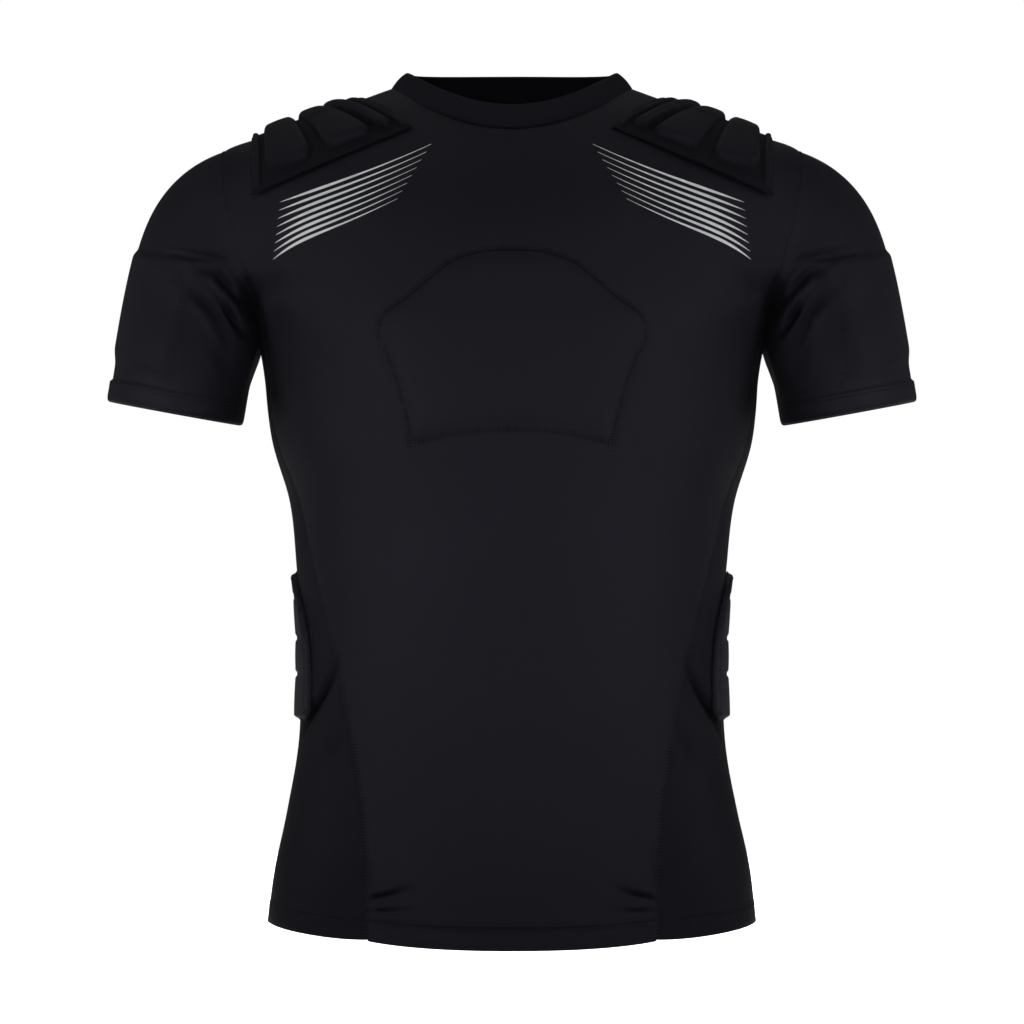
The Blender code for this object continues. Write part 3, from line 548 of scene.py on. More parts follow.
def along_path(values, lengths, at):
    """Values of a path's rows at distances along it."""
    return np.stack([np.interp(at, lengths, column) for column in values.T], axis=1)


def evenly(path, count, endpoint=True):
    """Points evenly spaced along a path."""
    lengths = arc_lengths(path, 0)
    return along_path(path, lengths, np.linspace(0, lengths[-1], count, endpoint=endpoint))


def closed(grid):
    """A ring's grid with its first column once more at its end."""
    return np.concatenate((grid, grid[:, :1]), axis=1)


def on_side(points, sign):
    """Points made for the left side, put on the side of the sign."""
    return points * np.array((sign, 1, 1))


def from_run(begin, end, x, z):
    """Share of a straight run at which it comes nearest to each place, and the distance there."""
    run = end - begin
    part = np.clip(((x - begin[0]) * run[0] + (z - begin[1]) * run[1]) / (run @ run), 0, 1)
    return part, np.hypot(x - begin[0] - run[0] * part, z - begin[1] - run[1] * part)


def flat_places(points, shade):
    """Place of each grid point on the cloth laid flat, in metres, and its painted shade."""
    across, up = arc_lengths(points, 1), arc_lengths(points, 0)
    middle = points.shape[1] // 2
    up = np.broadcast_to(up[:, middle:middle + 1], across.shape)
    return np.stack((across - across[:, middle:middle + 1], up, shade), axis=-1)


def seam_dip(points):
    """How far the cloth sinks towards the seams at a grid's two side edges."""
    across = arc_lengths(points, 1)
    edge = np.minimum(across, across[:, -1:] - across)
    return SEAM_DIP * bell(edge, SEAM_DIP_REACH)


def torso_skin(stations, angles, crease_share, chest_height=0.0, hem_groove=HEM_GROOVE, hem_step=0.0):
    """Outer face of a panel: a stretch of the torso with its hem, seams, creases and pad."""
    station = np.broadcast_to(stations[:, None], angles.shape)
    base, normals = torso_face(angles, station)
    settle, pinch, dark = near_armhole(base)
    fade = crease_share * eased(np.abs(base[..., 1]) / SIDE_FADE)
    folds, fold_dark = fold_lift(FRONT_CREASES, BACK_CREASES, base, fade)
    lift = settle * (unevenness(base) - seam_dip(base) + folds)
    lift += hem_lift(station, hem_groove) + chest_lift(base, chest_height)
    lift -= NECK_DIP * neck_line(angles, station, NECK_DIP_REACH)
    # Painted shade: the armpit's fold, the top of the hem and the neck seam, then the creases below
    dark = np.maximum(dark, painted_line_shade(angles, station, hem_groove))
    points = base + normals * lift[..., None] + crease_share * pinch
    points[..., 2] += hem_rise(base, station, hem_step)
    return Skin(points, normals, flat_places(points, np.maximum(dark, fold_dark)))


@lru_cache(maxsize=None)
def front_skin(chest_height, crease_share):
    stations = body_stations(
        (HIP_FOLDS[1], CHEST_ROWS[0], BODY_STEP), (*CHEST_ROWS, CHEST_STEP),
        (CHEST_ROWS[1], NECK_SEAM_ROWS[0], SHOULDER_STEP))
    stations = np.concatenate((stations, NECK_SEAM_ROWS[1:], (NECK,)))
    angles = edge_angle(stations)[:, None] * crowded(FRONT_COLUMNS + 1)
    return torso_skin(stations, angles, crease_share, chest_height)


@lru_cache(maxsize=None)
def back_skin(crease_share):
    stations = body_stations((HIP_FOLDS[1], ARMPIT, BODY_STEP), (ARMPIT, NECK, BODY_STEP))
    angles = np.pi + (np.pi - edge_angle(stations, back=True))[:, None] * crowded(BACK_COLUMNS + 1)
    return torso_skin(stations, angles, crease_share)


@lru_cache(maxsize=None)
def side_skin(sign, crease_share):
    stations = body_stations((HIP_FOLDS[1], ARMPIT, BODY_STEP))
    ends = [edge_angle(stations, back)[:, None] for back in (False, True)]
    angles = sign * between(ends, np.linspace(0, 1, SIDE_COLUMNS + 1))
    return torso_skin(stations, angles, crease_share, hem_groove=SIDE_HEM_GROOVE, hem_step=SIDE_HEM_STEP)


def armhole_half(back, middle, count):
    """Points up one half of the left armhole, evenly spaced from the armpit to the shoulder."""
    stations = between((ARMPIT, SHOULDER_POINT), np.sin(np.linspace(0, np.pi / 2, ARMHOLE_RISE_POINTS)))
    angles = edge_angle(stations, back)
    under = np.linspace(middle, angles[0], UNDERARM_POINTS)
    path = np.concatenate((torso(under, np.full_like(under, ARMPIT))[:-1], torso(angles, stations)))
    return evenly(path, count)


def sleeve_loop():
    """Left armhole: points, their turn round the arm (0 at the armpit) and their side (-1 front, 1 back)."""
    count = SLEEVE_HALF_COLUMNS + 1
    lowest = np.full(1, ARMPIT)
    middle = (edge_angle(lowest) + edge_angle(lowest, back=True))[0] / 2
    front, back = (armhole_half(side, middle, count) for side in (False, True))
    turn = np.linspace(0, np.pi, count)
    sides = np.concatenate((np.ones(count), -np.ones(count - 2)))
    return np.concatenate((back, front[-2:0:-1])), np.concatenate((turn, turn[-2:0:-1])), sides


@lru_cache(maxsize=None)
def armhole_tree():
    """Search tree over close points of the left armhole, and the points."""
    loop = sleeve_loop()[0]
    points = evenly(np.concatenate((loop, loop[:1])), ARMHOLE_POINTS, endpoint=False)
    tree = KDTree(len(points))
    for number, point in enumerate(points):
        tree.insert(point, number)
    tree.balance()
    return tree, points


def near_armhole(points):
    """How freely cloth moves near the armholes (0 to 1), how their rounding and folds move it, painted shade.
    """
    tree, path = armhole_tree()
    behind, level = path[:, 1], path[:, 2]
    lower = ramp(level, *ARMPIT_HEIGHTS)
    depth = -np.sign(behind) * np.minimum(ARMPIT_PINCH * np.abs(behind), ARMPIT_MOST) * lower
    reach = between(ARMPIT_DARK_REACH, ramp(level, *ARMPIT_DARK_HEIGHTS))
    fill = ARMHOLE_FILL * (1 - lower) * eased(np.abs(behind) / ARMHOLE_FILL_FADE)
    settle, dark = np.ones(points.shape[:-1]), np.zeros(points.shape[:-1])
    pinch = np.zeros(points.shape)
    near = (np.abs(points[..., 0]) > ARMHOLE_NEAR[0]) & (points[..., 2] > ARMHOLE_NEAR[1])
    for place in map(tuple, np.argwhere(near)):
        x, y, z = points[place]
        _, number, away = tree.find((abs(x), y, z))
        settle[place] = eased(away / ARMHOLE_HOLD)
        way = np.array((math.copysign(1, x), math.copysign(1, behind[number]), 1)) * ARMHOLE_FILL_WAY
        pinch[place] = way * fill[number] * max(0.0, 1 - away / ARMHOLE_FILL_REACH) ** 2
        pinch[place][1] += depth[number] * max(0.0, 1 - away / ARMPIT_REACH) ** ARMPIT_STEEP
        # Painted shade down in the armpit's fold
        dark[place] = ARMPIT_PAINTED_SHADE * lower[number] * bell(away, reach[number])
    return settle, pinch, dark


def top_share(turn):
    """0 at the underarm and 1 at the top of the sleeve."""
    return (1 - np.cos(turn)) / 2


def cuff_lift(turn, to_end):
    """The turned-up cuff stands proud at the top of the sleeve, and its end rounds in."""
    proud = CUFF_PROUD * top_share(turn) ** 3 * eased((CUFF_HEM - to_end) / HEM_STEP)
    near_end = np.clip(1 - to_end / CUFF_ROUND[0], 0, 1)
    return proud - CUFF_ROUND[1] * (1 - np.sqrt(1 - near_end**2))


def sleeve_pad_lift(base, turn, share):
    """The sleeve stands out over its pad."""
    cover = eased((turn - SLEEVE_PAD_START) / SLEEVE_PAD_EDGE)
    cover = cover * eased((np.interp(base[..., 0], *SLEEVE_PAD_TOP.T) - base[..., 2]) / SLEEVE_PAD_STEP)
    return SLEEVE_PAD_LIFT * cover * eased((SLEEVE_PAD_ALONG[1] - share) / SLEEVE_PAD_SLOPE)


def ring_normals(points):
    across = np.roll(points, -1, axis=1) - np.roll(points, 1, axis=1)
    down = np.gradient(points, axis=0)
    return unit(np.cross(across, down))


@lru_cache(maxsize=None)
def sleeve_skin(crease_share):
    """Left sleeve from the armhole to the cuff, with its pad, hem and creases."""
    start, turn, side = sleeve_loop()
    outward = np.array((math.cos(CUFF_LEAN), 0, math.sin(CUFF_LEAN)))
    down = np.array((math.sin(CUFF_LEAN), 0, -math.cos(CUFF_LEAN)))
    forward = np.outer(side * np.sin(turn), (0, CUFF_HALF_DEPTH, 0))
    end = CUFF_CENTRE - np.outer(np.cos(turn) * CUFF_HALF_WIDTH, outward) + forward
    slope = between((SLEEVE_UNDERARM_SLOPE, SLEEVE_TOP_SLOPE), top_share(turn))
    leaving = np.stack((np.cos(slope), side * SLEEVE_FRONT_LEAN * np.sin(turn), -np.sin(slope)), axis=1)
    length = np.linalg.norm(end - start, axis=1)
    hem_start = 1 - CUFF_HEM / length
    body = np.linspace(0, 1, SLEEVE_ROWS)[:, None] * (hem_start - CUFF_ROW_GAP / length)
    share = np.concatenate((body, between((hem_start, 1), np.array(CUFF_ROWS)[:, None])))
    leave, arrive = leaving * (length * SLEEVE_LEAVE)[:, None], down * (length * SLEEVE_ARRIVE)[:, None]
    base = hermite(start, leave, end, arrive, share[..., None])
    normals, to_end = ring_normals(base), (1 - share) * length
    from_line, from_end = SLEEVE_CREASE_FADE
    fade = crease_share * eased(np.abs(base[..., 1]) / from_line) * eased(to_end / from_end)
    folds, fold_dark = fold_lift(SLEEVE_FRONT_CREASES, SLEEVE_BACK_CREASES, base, fade)
    settle, pinch, dark = near_armhole(base)
    lift = sleeve_pad_lift(base, turn, share) + cuff_lift(turn, to_end) + settle * (folds + unevenness(base))
    points = base + normals * lift[..., None] + crease_share * pinch
    round_it = arc_lengths(closed(points), 1)
    along = np.broadcast_to((share * length).mean(axis=1)[:, None], round_it.shape)
    # Painted shade on the sleeve's underarm side, where it faces the body
    underarm = UNDERARM_PAINTED_SHADE * ramp(np.cos(turn), *UNDERARM_STRETCH)
    dark = closed(np.maximum(np.maximum(dark, fold_dark), underarm))
    return Skin(points, normals, np.stack((round_it, -along, dark), axis=-1))


def grid_quads(rows, columns, ring):
    steps = columns if ring else columns - 1
    i, j = np.meshgrid(np.arange(rows - 1), np.arange(steps), indexing="ij")
    k = (j + 1) % columns
    low, high = i * columns, (i + 1) * columns
    corners = np.stack((low + j, low + k, high + k, high + j), axis=-1)
    places = np.stack((i, j, i, j + 1, i + 1, j + 1, i + 1, j), axis=-1)
    return corners.reshape(-1, 4), places.reshape(-1, 4, 2)


def mesh_piece(name, points, quads, flat, finish, smooth_angle=SHARP, inside=None, inner=None):
    """One object from points and four-cornered faces, turned so that its faces point outwards.

    flat gives each face corner's place on the flat cloth and, if it has a third value, its painted shade.
    inside is the finish of the faces that inner marks.
    """
    a, b, c, d = (points[quads[:, k]] for k in range(4))
    volume = np.einsum("ij,ij->", a, np.cross(b, c)) + np.einsum("ij,ij->", a, np.cross(c, d))
    if volume < 0:
        quads, flat = quads[:, ::-1], flat[:, ::-1]
    mesh = bpy.data.meshes.new(name)
    mesh.vertices.add(len(points))
    mesh.vertices.foreach_set("co", points.astype(np.float32).ravel())
    mesh.loops.add(quads.size)
    mesh.loops.foreach_set("vertex_index", quads.astype(np.int32).ravel())
    mesh.polygons.add(len(quads))
    mesh.polygons.foreach_set("loop_start", np.arange(0, quads.size, 4, dtype=np.int32))
    mesh.update(calc_edges=True)
    layer = mesh.uv_layers.new(name="UVMap")
    layer.data.foreach_set("uv", flat[..., :2].astype(np.float32).ravel())
    if flat.shape[-1] > 2:
        # The third value is painted shade, kept as a corner attribute that darkens the cloth's colour
        shade = mesh.attributes.new("fold_shade", "FLOAT", "CORNER")
        shade.data.foreach_set("value", flat[..., 2].astype(np.float32).ravel())
    mesh.shade_smooth()
    mesh.set_sharp_from_angle(angle=smooth_angle)
    mesh.materials.append(finish)
    if inside:
        mesh.materials.append(inside)
        mesh.polygons.foreach_set("material_index", inner.astype(np.int32))
    if mesh.validate():
        raise RuntimeError(f"{name} has faces that can't be used")
    made = bpy.data.objects.new(name, mesh)
    bpy.context.scene.collection.objects.link(made)
    return made


def wall_piece(name, outer, inner, flat, finish, ring=False, inside=None):
    """One closed wall between two grids of points. flat has one more column than a ring's points."""
    rows, columns = outer.shape[:2]
    count = rows * columns
    points = np.concatenate((outer.reshape(-1, 3), inner.reshape(-1, 3)))
    skin, places = grid_quads(rows, columns, ring)
    faces, corners = [skin, skin[:, ::-1] + count], [places, places[:, ::-1]]
    across, up = np.arange(columns + ring), np.arange(rows)
    borders = [(np.zeros_like(across), across, -1), (np.full_like(across, rows - 1), across, 1)]
    if not ring:
        borders += [(up, np.zeros_like(up), 1), (up, np.full_like(up, columns - 1), -1)]
    for row, column, way in borders:
        line = np.stack((row, column), axis=-1)
        corner = np.stack((line[:-1], line[1:], line[1:], line[:-1]), axis=1)
        quad = corner[..., 0] * columns + corner[..., 1] % columns + (0, 0, count, count)
        faces.append(quad[:, ::way])
        corners.append(corner[:, ::way])
    places, quads = np.concatenate(corners), np.concatenate(faces)
    number = np.arange(len(quads))
    within = (number >= len(skin)) & (number < 2 * len(skin))
    return mesh_piece(
        name, points, quads, flat[places[..., 0], places[..., 1]], finish, inside=inside, inner=within)


def draw_sides_in(points, distance):
    """Moves a grid's two side edges inwards along the cloth, or outwards if the distance is negative."""
    points = points.copy()
    points[:, 0] += unit(points[:, 1] - points[:, 0]) * distance
    points[:, -1] += unit(points[:, -2] - points[:, -1]) * distance
    return points


def rounded_edge(outer, inner, flat, row):
    """Adds a row to both faces, close together, so that the free edge at row 0 or -1 is round."""
    middle = (outer[row] + inner[row]) / 2
    thick = np.linalg.norm(outer[row] - inner[row], axis=-1, keepdims=True)
    beyond = unit(outer[row] - outer[1 if row == 0 else -2]) * thick * EDGE_REACH
    added = [between((middle, face[row]), EDGE_KEEPS) + beyond for face in (outer, inner)]
    at = 0 if row == 0 else len(outer)
    return [np.insert(grid, at, new, axis=0) for grid, new in zip((outer, inner, flat), (*added, flat[row]))]


def rolled_edge(outer, inner, flat):
    """Adds rows that carry a doubled band over its fold in a half round."""
    middle, half = (outer[-1] + inner[-1]) / 2, (outer[-1] - inner[-1]) / 2
    up = unit(outer[-1] - outer[-2]) * np.linalg.norm(half, axis=-1, keepdims=True)
    faces = []
    for face, sign in ((outer, 1), (inner, -1)):
        roll = [middle + sign * half * math.cos(turn) + up * math.sin(turn) for turn in ROLL_TURNS]
        faces.append(np.concatenate((face, roll)))
    flat_rows = [flat[-1] + (0, ROLL_STEP * (k + 1), 0) for k in range(len(ROLL_TURNS))]
    return *faces, np.concatenate((flat, flat_rows))


@lru_cache(maxsize=None)
def neckband_skin():
    """The band from the neck seam to its folded upper edge."""
    angle = np.linspace(-np.pi / 2, 3 * np.pi / 2, NECK_COLUMNS, endpoint=False)
    station = np.full_like(angle, NECK)
    edge, outwards = torso_face(angle, station)
    foot = edge - unit(edge - torso(angle, station - NECK_STEP)) * NECKBAND_GAP
    top = ring_points(np.broadcast_to(RIM, (len(angle), len(RIM))), angle)
    share = np.linspace(0, 1, NECK_ROWS + 1)[:, None, None]
    middle = ramp(np.cos(angle), *NECK_FRONT)[None, :, None]
    swell = NECKBAND_SWELL * share * (1 - share) - NECKBAND_DIP * middle * bell(share, NECKBAND_DIP_SHARE)
    points = between((foot, top), share) + outwards * swell
    points += outwards * unevenness(points)[..., None] * NECKBAND_UNEVEN
    round_it = arc_lengths(closed(points), 1)
    up = np.broadcast_to(arc_lengths(points, 0).mean(axis=1)[:, None], round_it.shape)
    # Painted shade at the foot of the band, most at the front
    shade = closed(NECK_PAINTED_SHADE * (middle * bell(share, NECKBAND_DARK_SHARE))[..., 0])
    return Skin(points, ring_normals(points), np.stack((round_it, up, shade), axis=-1))


# Stretches of the shoulder pad's blocks and bars, from the sleeve to the neck: on the shoulder line and at
# the blocks' lower edge
PAD_BLOCKS = (
    ((0.13, 0.39), (0.095, 0.413)), ((0.44, 0.635), (0.497, 0.805)), ((0.665, 0.8), (0.85, 0.94)),
)
PAD_BARS = (((0.012, 0.066), (0.012, 0.066)), ((0.87, 0.93), (0.958, 0.99)))
# Bars: share of the blocks' height, reach across the pad and rounding
PAD_BAR_LEVEL, PAD_BAR_REACH, PAD_BAR_ROUND = 0.42, 0.972, 0.002
PAD_BLOCK_REACH = 0.9
PAD_ROW_GROOVE, PAD_ROW_GROOVE_WIDTH = 0.46, 0.0028
PAD_ROW_GROOVE_SHARES = (0.05, 0.3, 0.2)
PAD_ROUND, PAD_CORNER = 0.0046, 0.007
# The blocks' height share on the shoulder line, and where across the pad they rise to their full height
PAD_TOP_LEVEL, PAD_TOP_RISE = 0.84, (0.2, 0.5)
PAD_ROWS, PAD_COLUMNS = 124, 118
# Steps of the grid's outermost lines: at the sleeve, at the neck and at both sides
PAD_LINE_STEPS = (0.006, 0.01, 0.008)
# Bead along the flange: height, distance from the edge and width
PAD_BEAD = (0.0004, 0.0016, 0.0009)
# How much painted shade darkens the flange, and the height share at which this ends
PAD_FLANGE_PAINTED_SHADE, PAD_DARK_LEVEL = 0.34, 0.35
# Share of the flange's height that a pad has at its very edge
PAD_RIM_SHARE = 0.35


def corner_distance(along, across, corner):
    """Distance to the nearest edge of a rectangle whose corners are rounded, from its two edge distances."""
    past = np.hypot(np.maximum(corner - along, 0), np.maximum(corner - across, 0))
    return np.where((along < corner) & (across < corner), corner - past, np.minimum(along, across))


def pillow(distance, rounding):
    """Height share of a soft block at a distance inside its edge."""
    share = np.clip(distance / rounding, 0, 1)
    return np.sqrt(1 - (1 - share) ** 2)


def pad_place(along, across):
    """Angle and station of points of the left shoulder pad, whose lines curve in past the neck."""
    angle, station = np.zeros_like(along), np.zeros_like(along)
    top_x = between((PAD_OUTER_X, PAD_INNER_X), along)
    for back, corners, side in ((False, PAD_FRONT, across < 0), (True, PAD_BACK, across >= 0)):
        low = between(corners, along[:, :1, None])
        low_angle = seen_at(low[..., 0], low[..., 1], back)[0]
        share = np.abs(across)
        there = between((np.pi / 2, low_angle), share)
        aim = between((top_x, low[..., 0]), share**PAD_CURVE)
        lowest = np.full_like(there, PAD_LOWEST)
        found = halve(lowest, np.full_like(there, NECK), lambda at: torso(there, at)[..., 0] > aim)
        angle, station = np.where(side, there, angle), np.where(side, found, station)
    return angle, station


def border_share(rows, columns):
    """Share of the flange's height over a grid: less on its border."""
    share = np.ones((rows, columns))
    share[[0, -1]] = share[:, [0, -1]] = PAD_RIM_SHARE
    return share


def dome(place, low, high):
    """Height share of a swell between two ends."""
    return np.clip(1 - ((2 * place - low - high) / (high - low)) ** 2, 0, 1)


@lru_cache(maxsize=None)
def shoulder_pad_grids(crown):
    """Outer face and underside of the left shoulder pad: blocks, bars and flange."""
    first, last, aside = PAD_LINE_STEPS
    inner = 1 - 2 * aside
    rows = np.concatenate(((0.0, first), np.linspace(2 * first, 1 - last, PAD_ROWS - 3), (1.0,)))
    middle = np.linspace(-inner, inner, PAD_COLUMNS - 4)
    columns = np.concatenate(((-1.0, aside - 1), middle, (1 - aside, 1.0)))
    along, across = np.meshgrid(rows, columns, indexing="ij")
    angle, station = pad_place(along, across)
    base, normals = torso_face(angle, station)
    length_along, half_across = arc_lengths(base, 0)[-1:], arc_lengths(base, 1)[:, -1:] / 2
    off_middle = np.abs(across)
    down = np.minimum(off_middle / PAD_BLOCK_REACH, 1)
    edge_across = (PAD_BLOCK_REACH - off_middle) * half_across
    level = np.zeros_like(along)
    for ends, dip in zip(PAD_BLOCKS, PAD_ROW_GROOVE_SHARES):
        low, high = (between(pair, down) for pair in zip(*ends))
        edge_along = np.minimum(along - low, high - along) * length_along
        body = pillow(corner_distance(edge_along, edge_across, PAD_CORNER), PAD_ROUND)
        groove = dip * bell((off_middle - PAD_ROW_GROOVE) * half_across, PAD_ROW_GROOVE_WIDTH)
        top = between((PAD_TOP_LEVEL, 1), ramp(off_middle, *PAD_TOP_RISE))
        swell = crown * dome(along, low, high) / (PAD_BLOCK - PAD_FLANGE)
        level = np.maximum(level, body * (top * (1 - groove) + swell))
    for ends in PAD_BARS:
        low, high = (between(pair, down) for pair in zip(*ends))
        bar_edge = np.minimum(along - low, high - along) * length_along
        bar_end = (PAD_BAR_REACH - off_middle) * half_across
        level = np.maximum(level, PAD_BAR_LEVEL * pillow(np.minimum(bar_edge, bar_end), PAD_BAR_ROUND))
    bead = PAD_BEAD[0] * bell((1 - off_middle) * half_across - PAD_BEAD[1], PAD_BEAD[2])
    height = (PAD_FLANGE + bead) * border_share(*along.shape) + (PAD_BLOCK - PAD_FLANGE) * level
    gap = PAD_GAP + (PAD_CORNER_GAP - PAD_GAP) * off_middle * (1 - along)
    under, outer = (base + normals * lift[..., None] for lift in (gap, gap + height))
    up = np.broadcast_to(arc_lengths(base, 0)[:, :1], along.shape)
    # Painted shade on the low flange, fading out as the blocks rise
    dark = PAD_FLANGE_PAINTED_SHADE * (1 - eased(level / PAD_DARK_LEVEL))
    return outer, under, np.stack((arc_lengths(base, 1), up, dark), axis=-1)


# Rib pad: its grid, the widths of flange and channels, the rounding of the blocks' edges and corners
RIB_ROWS, RIB_COLUMNS = 100, 64
RIB_FLANGE_WIDTH, RIB_GROOVE_WIDTH, RIB_ROUND, RIB_BLOCK_CORNER = 0.0016, 0.003, 0.0018, 0.006
# Painted shade along the flange: how dark, how wide, and over what height below the top it sets in
RIB_FLANGE_PAINTED_SHADE, RIB_LINE, RIB_LINE_FADE = 0.75, 0.0032, 0.022
# Height share of the channels' floor, and where across the pad they run out
RIB_GROOVE_FLOOR, RIB_GROOVE_ENDS = 0.6, (0.25, 0.6)


def rib_half_width(z):
    """Half width of the rib pad at a height."""
    rise = np.clip((z - RIB_FOOT) / RIB_HEIGHT, 0, 1)
    corner = 1 - RIB_CORNER * (1 - np.minimum(rise / RIB_CORNER_RISE, 1)) ** 2
    return RIB_HALF * corner * (1 - rise**RIB_TAPER) ** RIB_BLUNT


def rib_top(y):
    """Height of the rib pad's rounded upper outline at a distance before or behind its middle."""
    share = np.minimum(np.abs(y) / RIB_HALF, 1)
    return RIB_FOOT + RIB_HEIGHT * (1 - share ** (1 / RIB_BLUNT)) ** (1 / RIB_TAPER)


@lru_cache(maxsize=None)
def rib_pad_grids(crown):
    """Outer face and underside of the left rib pad: a row of blocks inside a flange."""
    rise, share = np.linspace(0, 1, RIB_ROWS)[:, None], np.linspace(-1, 1, RIB_COLUMNS)[None]
    top, side_top = RIB_FOOT + RIB_HEIGHT, RIB_FOOT + RIB_SHOULDER * RIB_HEIGHT
    side_z = between((RIB_FOOT, side_top), rise)
    y = rib_half_width(side_z) * share
    z = side_z + rise**2 * (rib_top(rib_half_width(side_top) * share) - side_top)
    station = halve(np.zeros(z.shape), np.full(z.shape, ARMPIT), lambda at: sections(at)[..., SIDE_Z] < z)
    rows = sections(station)
    depth = np.where(y < 0, rows[..., FRONT_DEPTH], rows[..., BACK_DEPTH])
    turn = np.arccos(np.clip(np.abs(y) / depth, 0, 1) ** (rows[..., SQUARENESS] / 2))
    angle = np.where(y < 0, turn, np.pi - turn)
    base, normals = torso_face(angle, station)
    to_side, to_top = np.maximum(rib_half_width(z) - np.abs(y), 0), np.maximum(rib_top(y) - z, 0)
    from_edge = to_side * to_top / np.maximum(np.hypot(to_side, to_top), TINY)
    edge_across, above_foot = from_edge - RIB_FLANGE_WIDTH, z - RIB_FOOT

    def block(edge_along):
        return pillow(corner_distance(edge_along, edge_across, RIB_BLOCK_CORNER), RIB_ROUND)

    floor = between((RIB_GROOVE_FLOOR, 1), ramp(np.abs(share), *RIB_GROOVE_ENDS))
    level = floor * block(above_foot - RIB_FLANGE_WIDTH)
    lows = [RIB_FOOT + RIB_FLANGE_WIDTH, *(groove + RIB_GROOVE_WIDTH / 2 for groove in RIB_GROOVES)]
    highs = [*(groove - RIB_GROOVE_WIDTH / 2 for groove in RIB_GROOVES), top + RIB_TOP_MORE]
    for low, high in zip(lows, highs):
        swell = 1 + crown * dome(z, low, high) / (RIB_BLOCK - RIB_FLANGE)
        level = np.maximum(level, block(np.minimum(z - low, high - z)) * swell)
    height = RIB_FLANGE * border_share(*y.shape) + (RIB_BLOCK - RIB_FLANGE) * level
    outer, under = base + normals * (RIB_GAP + height)[..., None], base + normals * RIB_GAP
    across = arc_lengths(base, 1)
    across = across - across[:, RIB_COLUMNS // 2, None]
    # Painted shade along the flange, fading out near the top
    dark = RIB_FLANGE_PAINTED_SHADE * (1 - eased(np.minimum(from_edge, above_foot) / RIB_LINE))
    dark = dark * eased((top - z) / RIB_LINE_FADE)
    return outer, under, np.stack((across, above_foot, dark), axis=-1)


def chest_pad_grids(cloth, chest_height, rows=44, columns=52):
    """The pad behind the front: its face follows the cloth, and it thins towards its edge."""
    level = np.linspace(CHEST_PAD[0, 0], CHEST_PAD[-1, 0], rows)[:, None]
    x = np.interp(level, *CHEST_PAD.T) * np.linspace(-1, 1, columns)[None]
    fade = 1 - eased((level - CHEST_PAD[0, 0]) / CHEST_ARCH_REACH)
    z = level + (chest_foot(x) - CHEST_PAD[0, 0]) * fade
    angle, station = seen_at(np.abs(x), z)
    angle = np.copysign(angle, x)
    base, normals = torso_face(angle, station)
    face = base + normals * (np.maximum(chest_lift(base, chest_height), 0) - cloth - CHEST_PAD_GAP)[..., None]
    flat = np.stack((x, z), axis=-1)
    border = np.concatenate((flat[0], flat[1:-1, -1], flat[-1, ::-1], flat[-2:0:-1, 0]))
    away = inside_and_distance(border, x, z)[1]
    thick = between((CHEST_PAD_EDGE, CHEST_PAD_THICK), pillow(away, CHEST_PAD_ROUND))
    return face, face - normals * thick[..., None], flat


def sleeve_pad_grids(cloth, crease_share):
    """The pad inside the left sleeve, made from the sleeve's own points."""
    skin = sleeve_skin(crease_share)
    columns = np.flatnonzero(sleeve_loop()[1] >= SLEEVE_PAD_START)
    low, high = (int(round(share * (SLEEVE_ROWS - 1))) for share in SLEEVE_PAD_ALONG)
    points, normals = skin.points[low:high + 1, columns], skin.normals[low:high + 1, columns]
    outer = points - normals * (cloth + SLEEVE_PAD_GAP)
    across, along = arc_lengths(outer, 1), arc_lengths(outer, 0)
    away = np.minimum(np.minimum(across, across[:, -1:] - across), np.minimum(along, along[-1:] - along))
    thick = between((SLEEVE_PAD_RIM, SLEEVE_PAD_THICK), pillow(away, SLEEVE_PAD_ROUND))
    return outer, outer - normals * thick[..., None], np.stack((across, -along), axis=-1)


def skin_tree(grids):
    """Search tree over the outer faces of grids, each with a flag that says whether it is a ring."""
    points, faces, count = [], [], 0
    for grid, ring in grids:
        points.append(grid.reshape(-1, 3))
        faces.append(grid_quads(*grid.shape[:2], ring)[0] + count)
        count += len(points[-1])
    return BVHTree.FromPolygons(np.concatenate(points).tolist(), np.concatenate(faces).tolist())


# Sewing: a stitch's rows along it (share, lift and thickness in radii), its sides, and its size on the flat
STITCH_ROWS = np.array(((0.0, -0.4, 0.5), (0.18, 0.6, 1.0), (0.82, 0.6, 1.0), (1.0, -0.4, 0.5)))
STITCH_SIDES, STITCH_FLAT, STITCH_SMOOTH = 4, (0.003, 0.0003), math.radians(120)
# Running stitches of the hems and of the pads' flanges: length and gap
HEM_RUN, PAD_RUN = (0.0026, 0.0006), (0.0024, 0.0008)
# How far below its top the hem's stitches run, and which of the sleeve's rows carry the cuff's
HEM_STITCHES_BELOW, CUFF_STITCH_ROWS = (0.0032, 0.0016), (SLEEVE_ROWS + 2, SLEEVE_ROWS + 3)
# Flat seams: step of the stitches, width on the body and at the armhole, look-ahead along the seam
SEAM_STEP, SEAM_WIDTH, ARMHOLE_WIDTH, SEAM_AHEAD = 0.0027, 0.0042, 0.0032, 0.001
# Side seams lie below this height, shoulder seams above the next one and nearer the middle than the last
SIDE_SEAM_TOP, SHOULDER_SEAM_FOOT, SHOULDER_SEAM_END = -0.2075, -0.1, 0.1235
# The most by which laying a stitch down may stretch it
STITCH_MOST = 1.4
HEM_PATH_POINTS = 700
# Row of the sleeve whose normals the stitches at the armhole follow
ARMHOLE_NORMALS_ROW = 2
# Which lines of the pads' grids carry stitches, and where along them these start
SHOULDER_PAD_LINE, RIB_PAD_LINE, PAD_STITCH_START = 4, 3, 3


def cast(tree, start, aim, *reach):
    """Where a ray meets the cloth and the normal there, turned against the ray, or None for both."""
    hit, normal, _, _ = tree.ray_cast(start, aim, *reach)
    if hit is not None and normal.dot(aim) > 0:
        normal = -normal
    return hit, normal


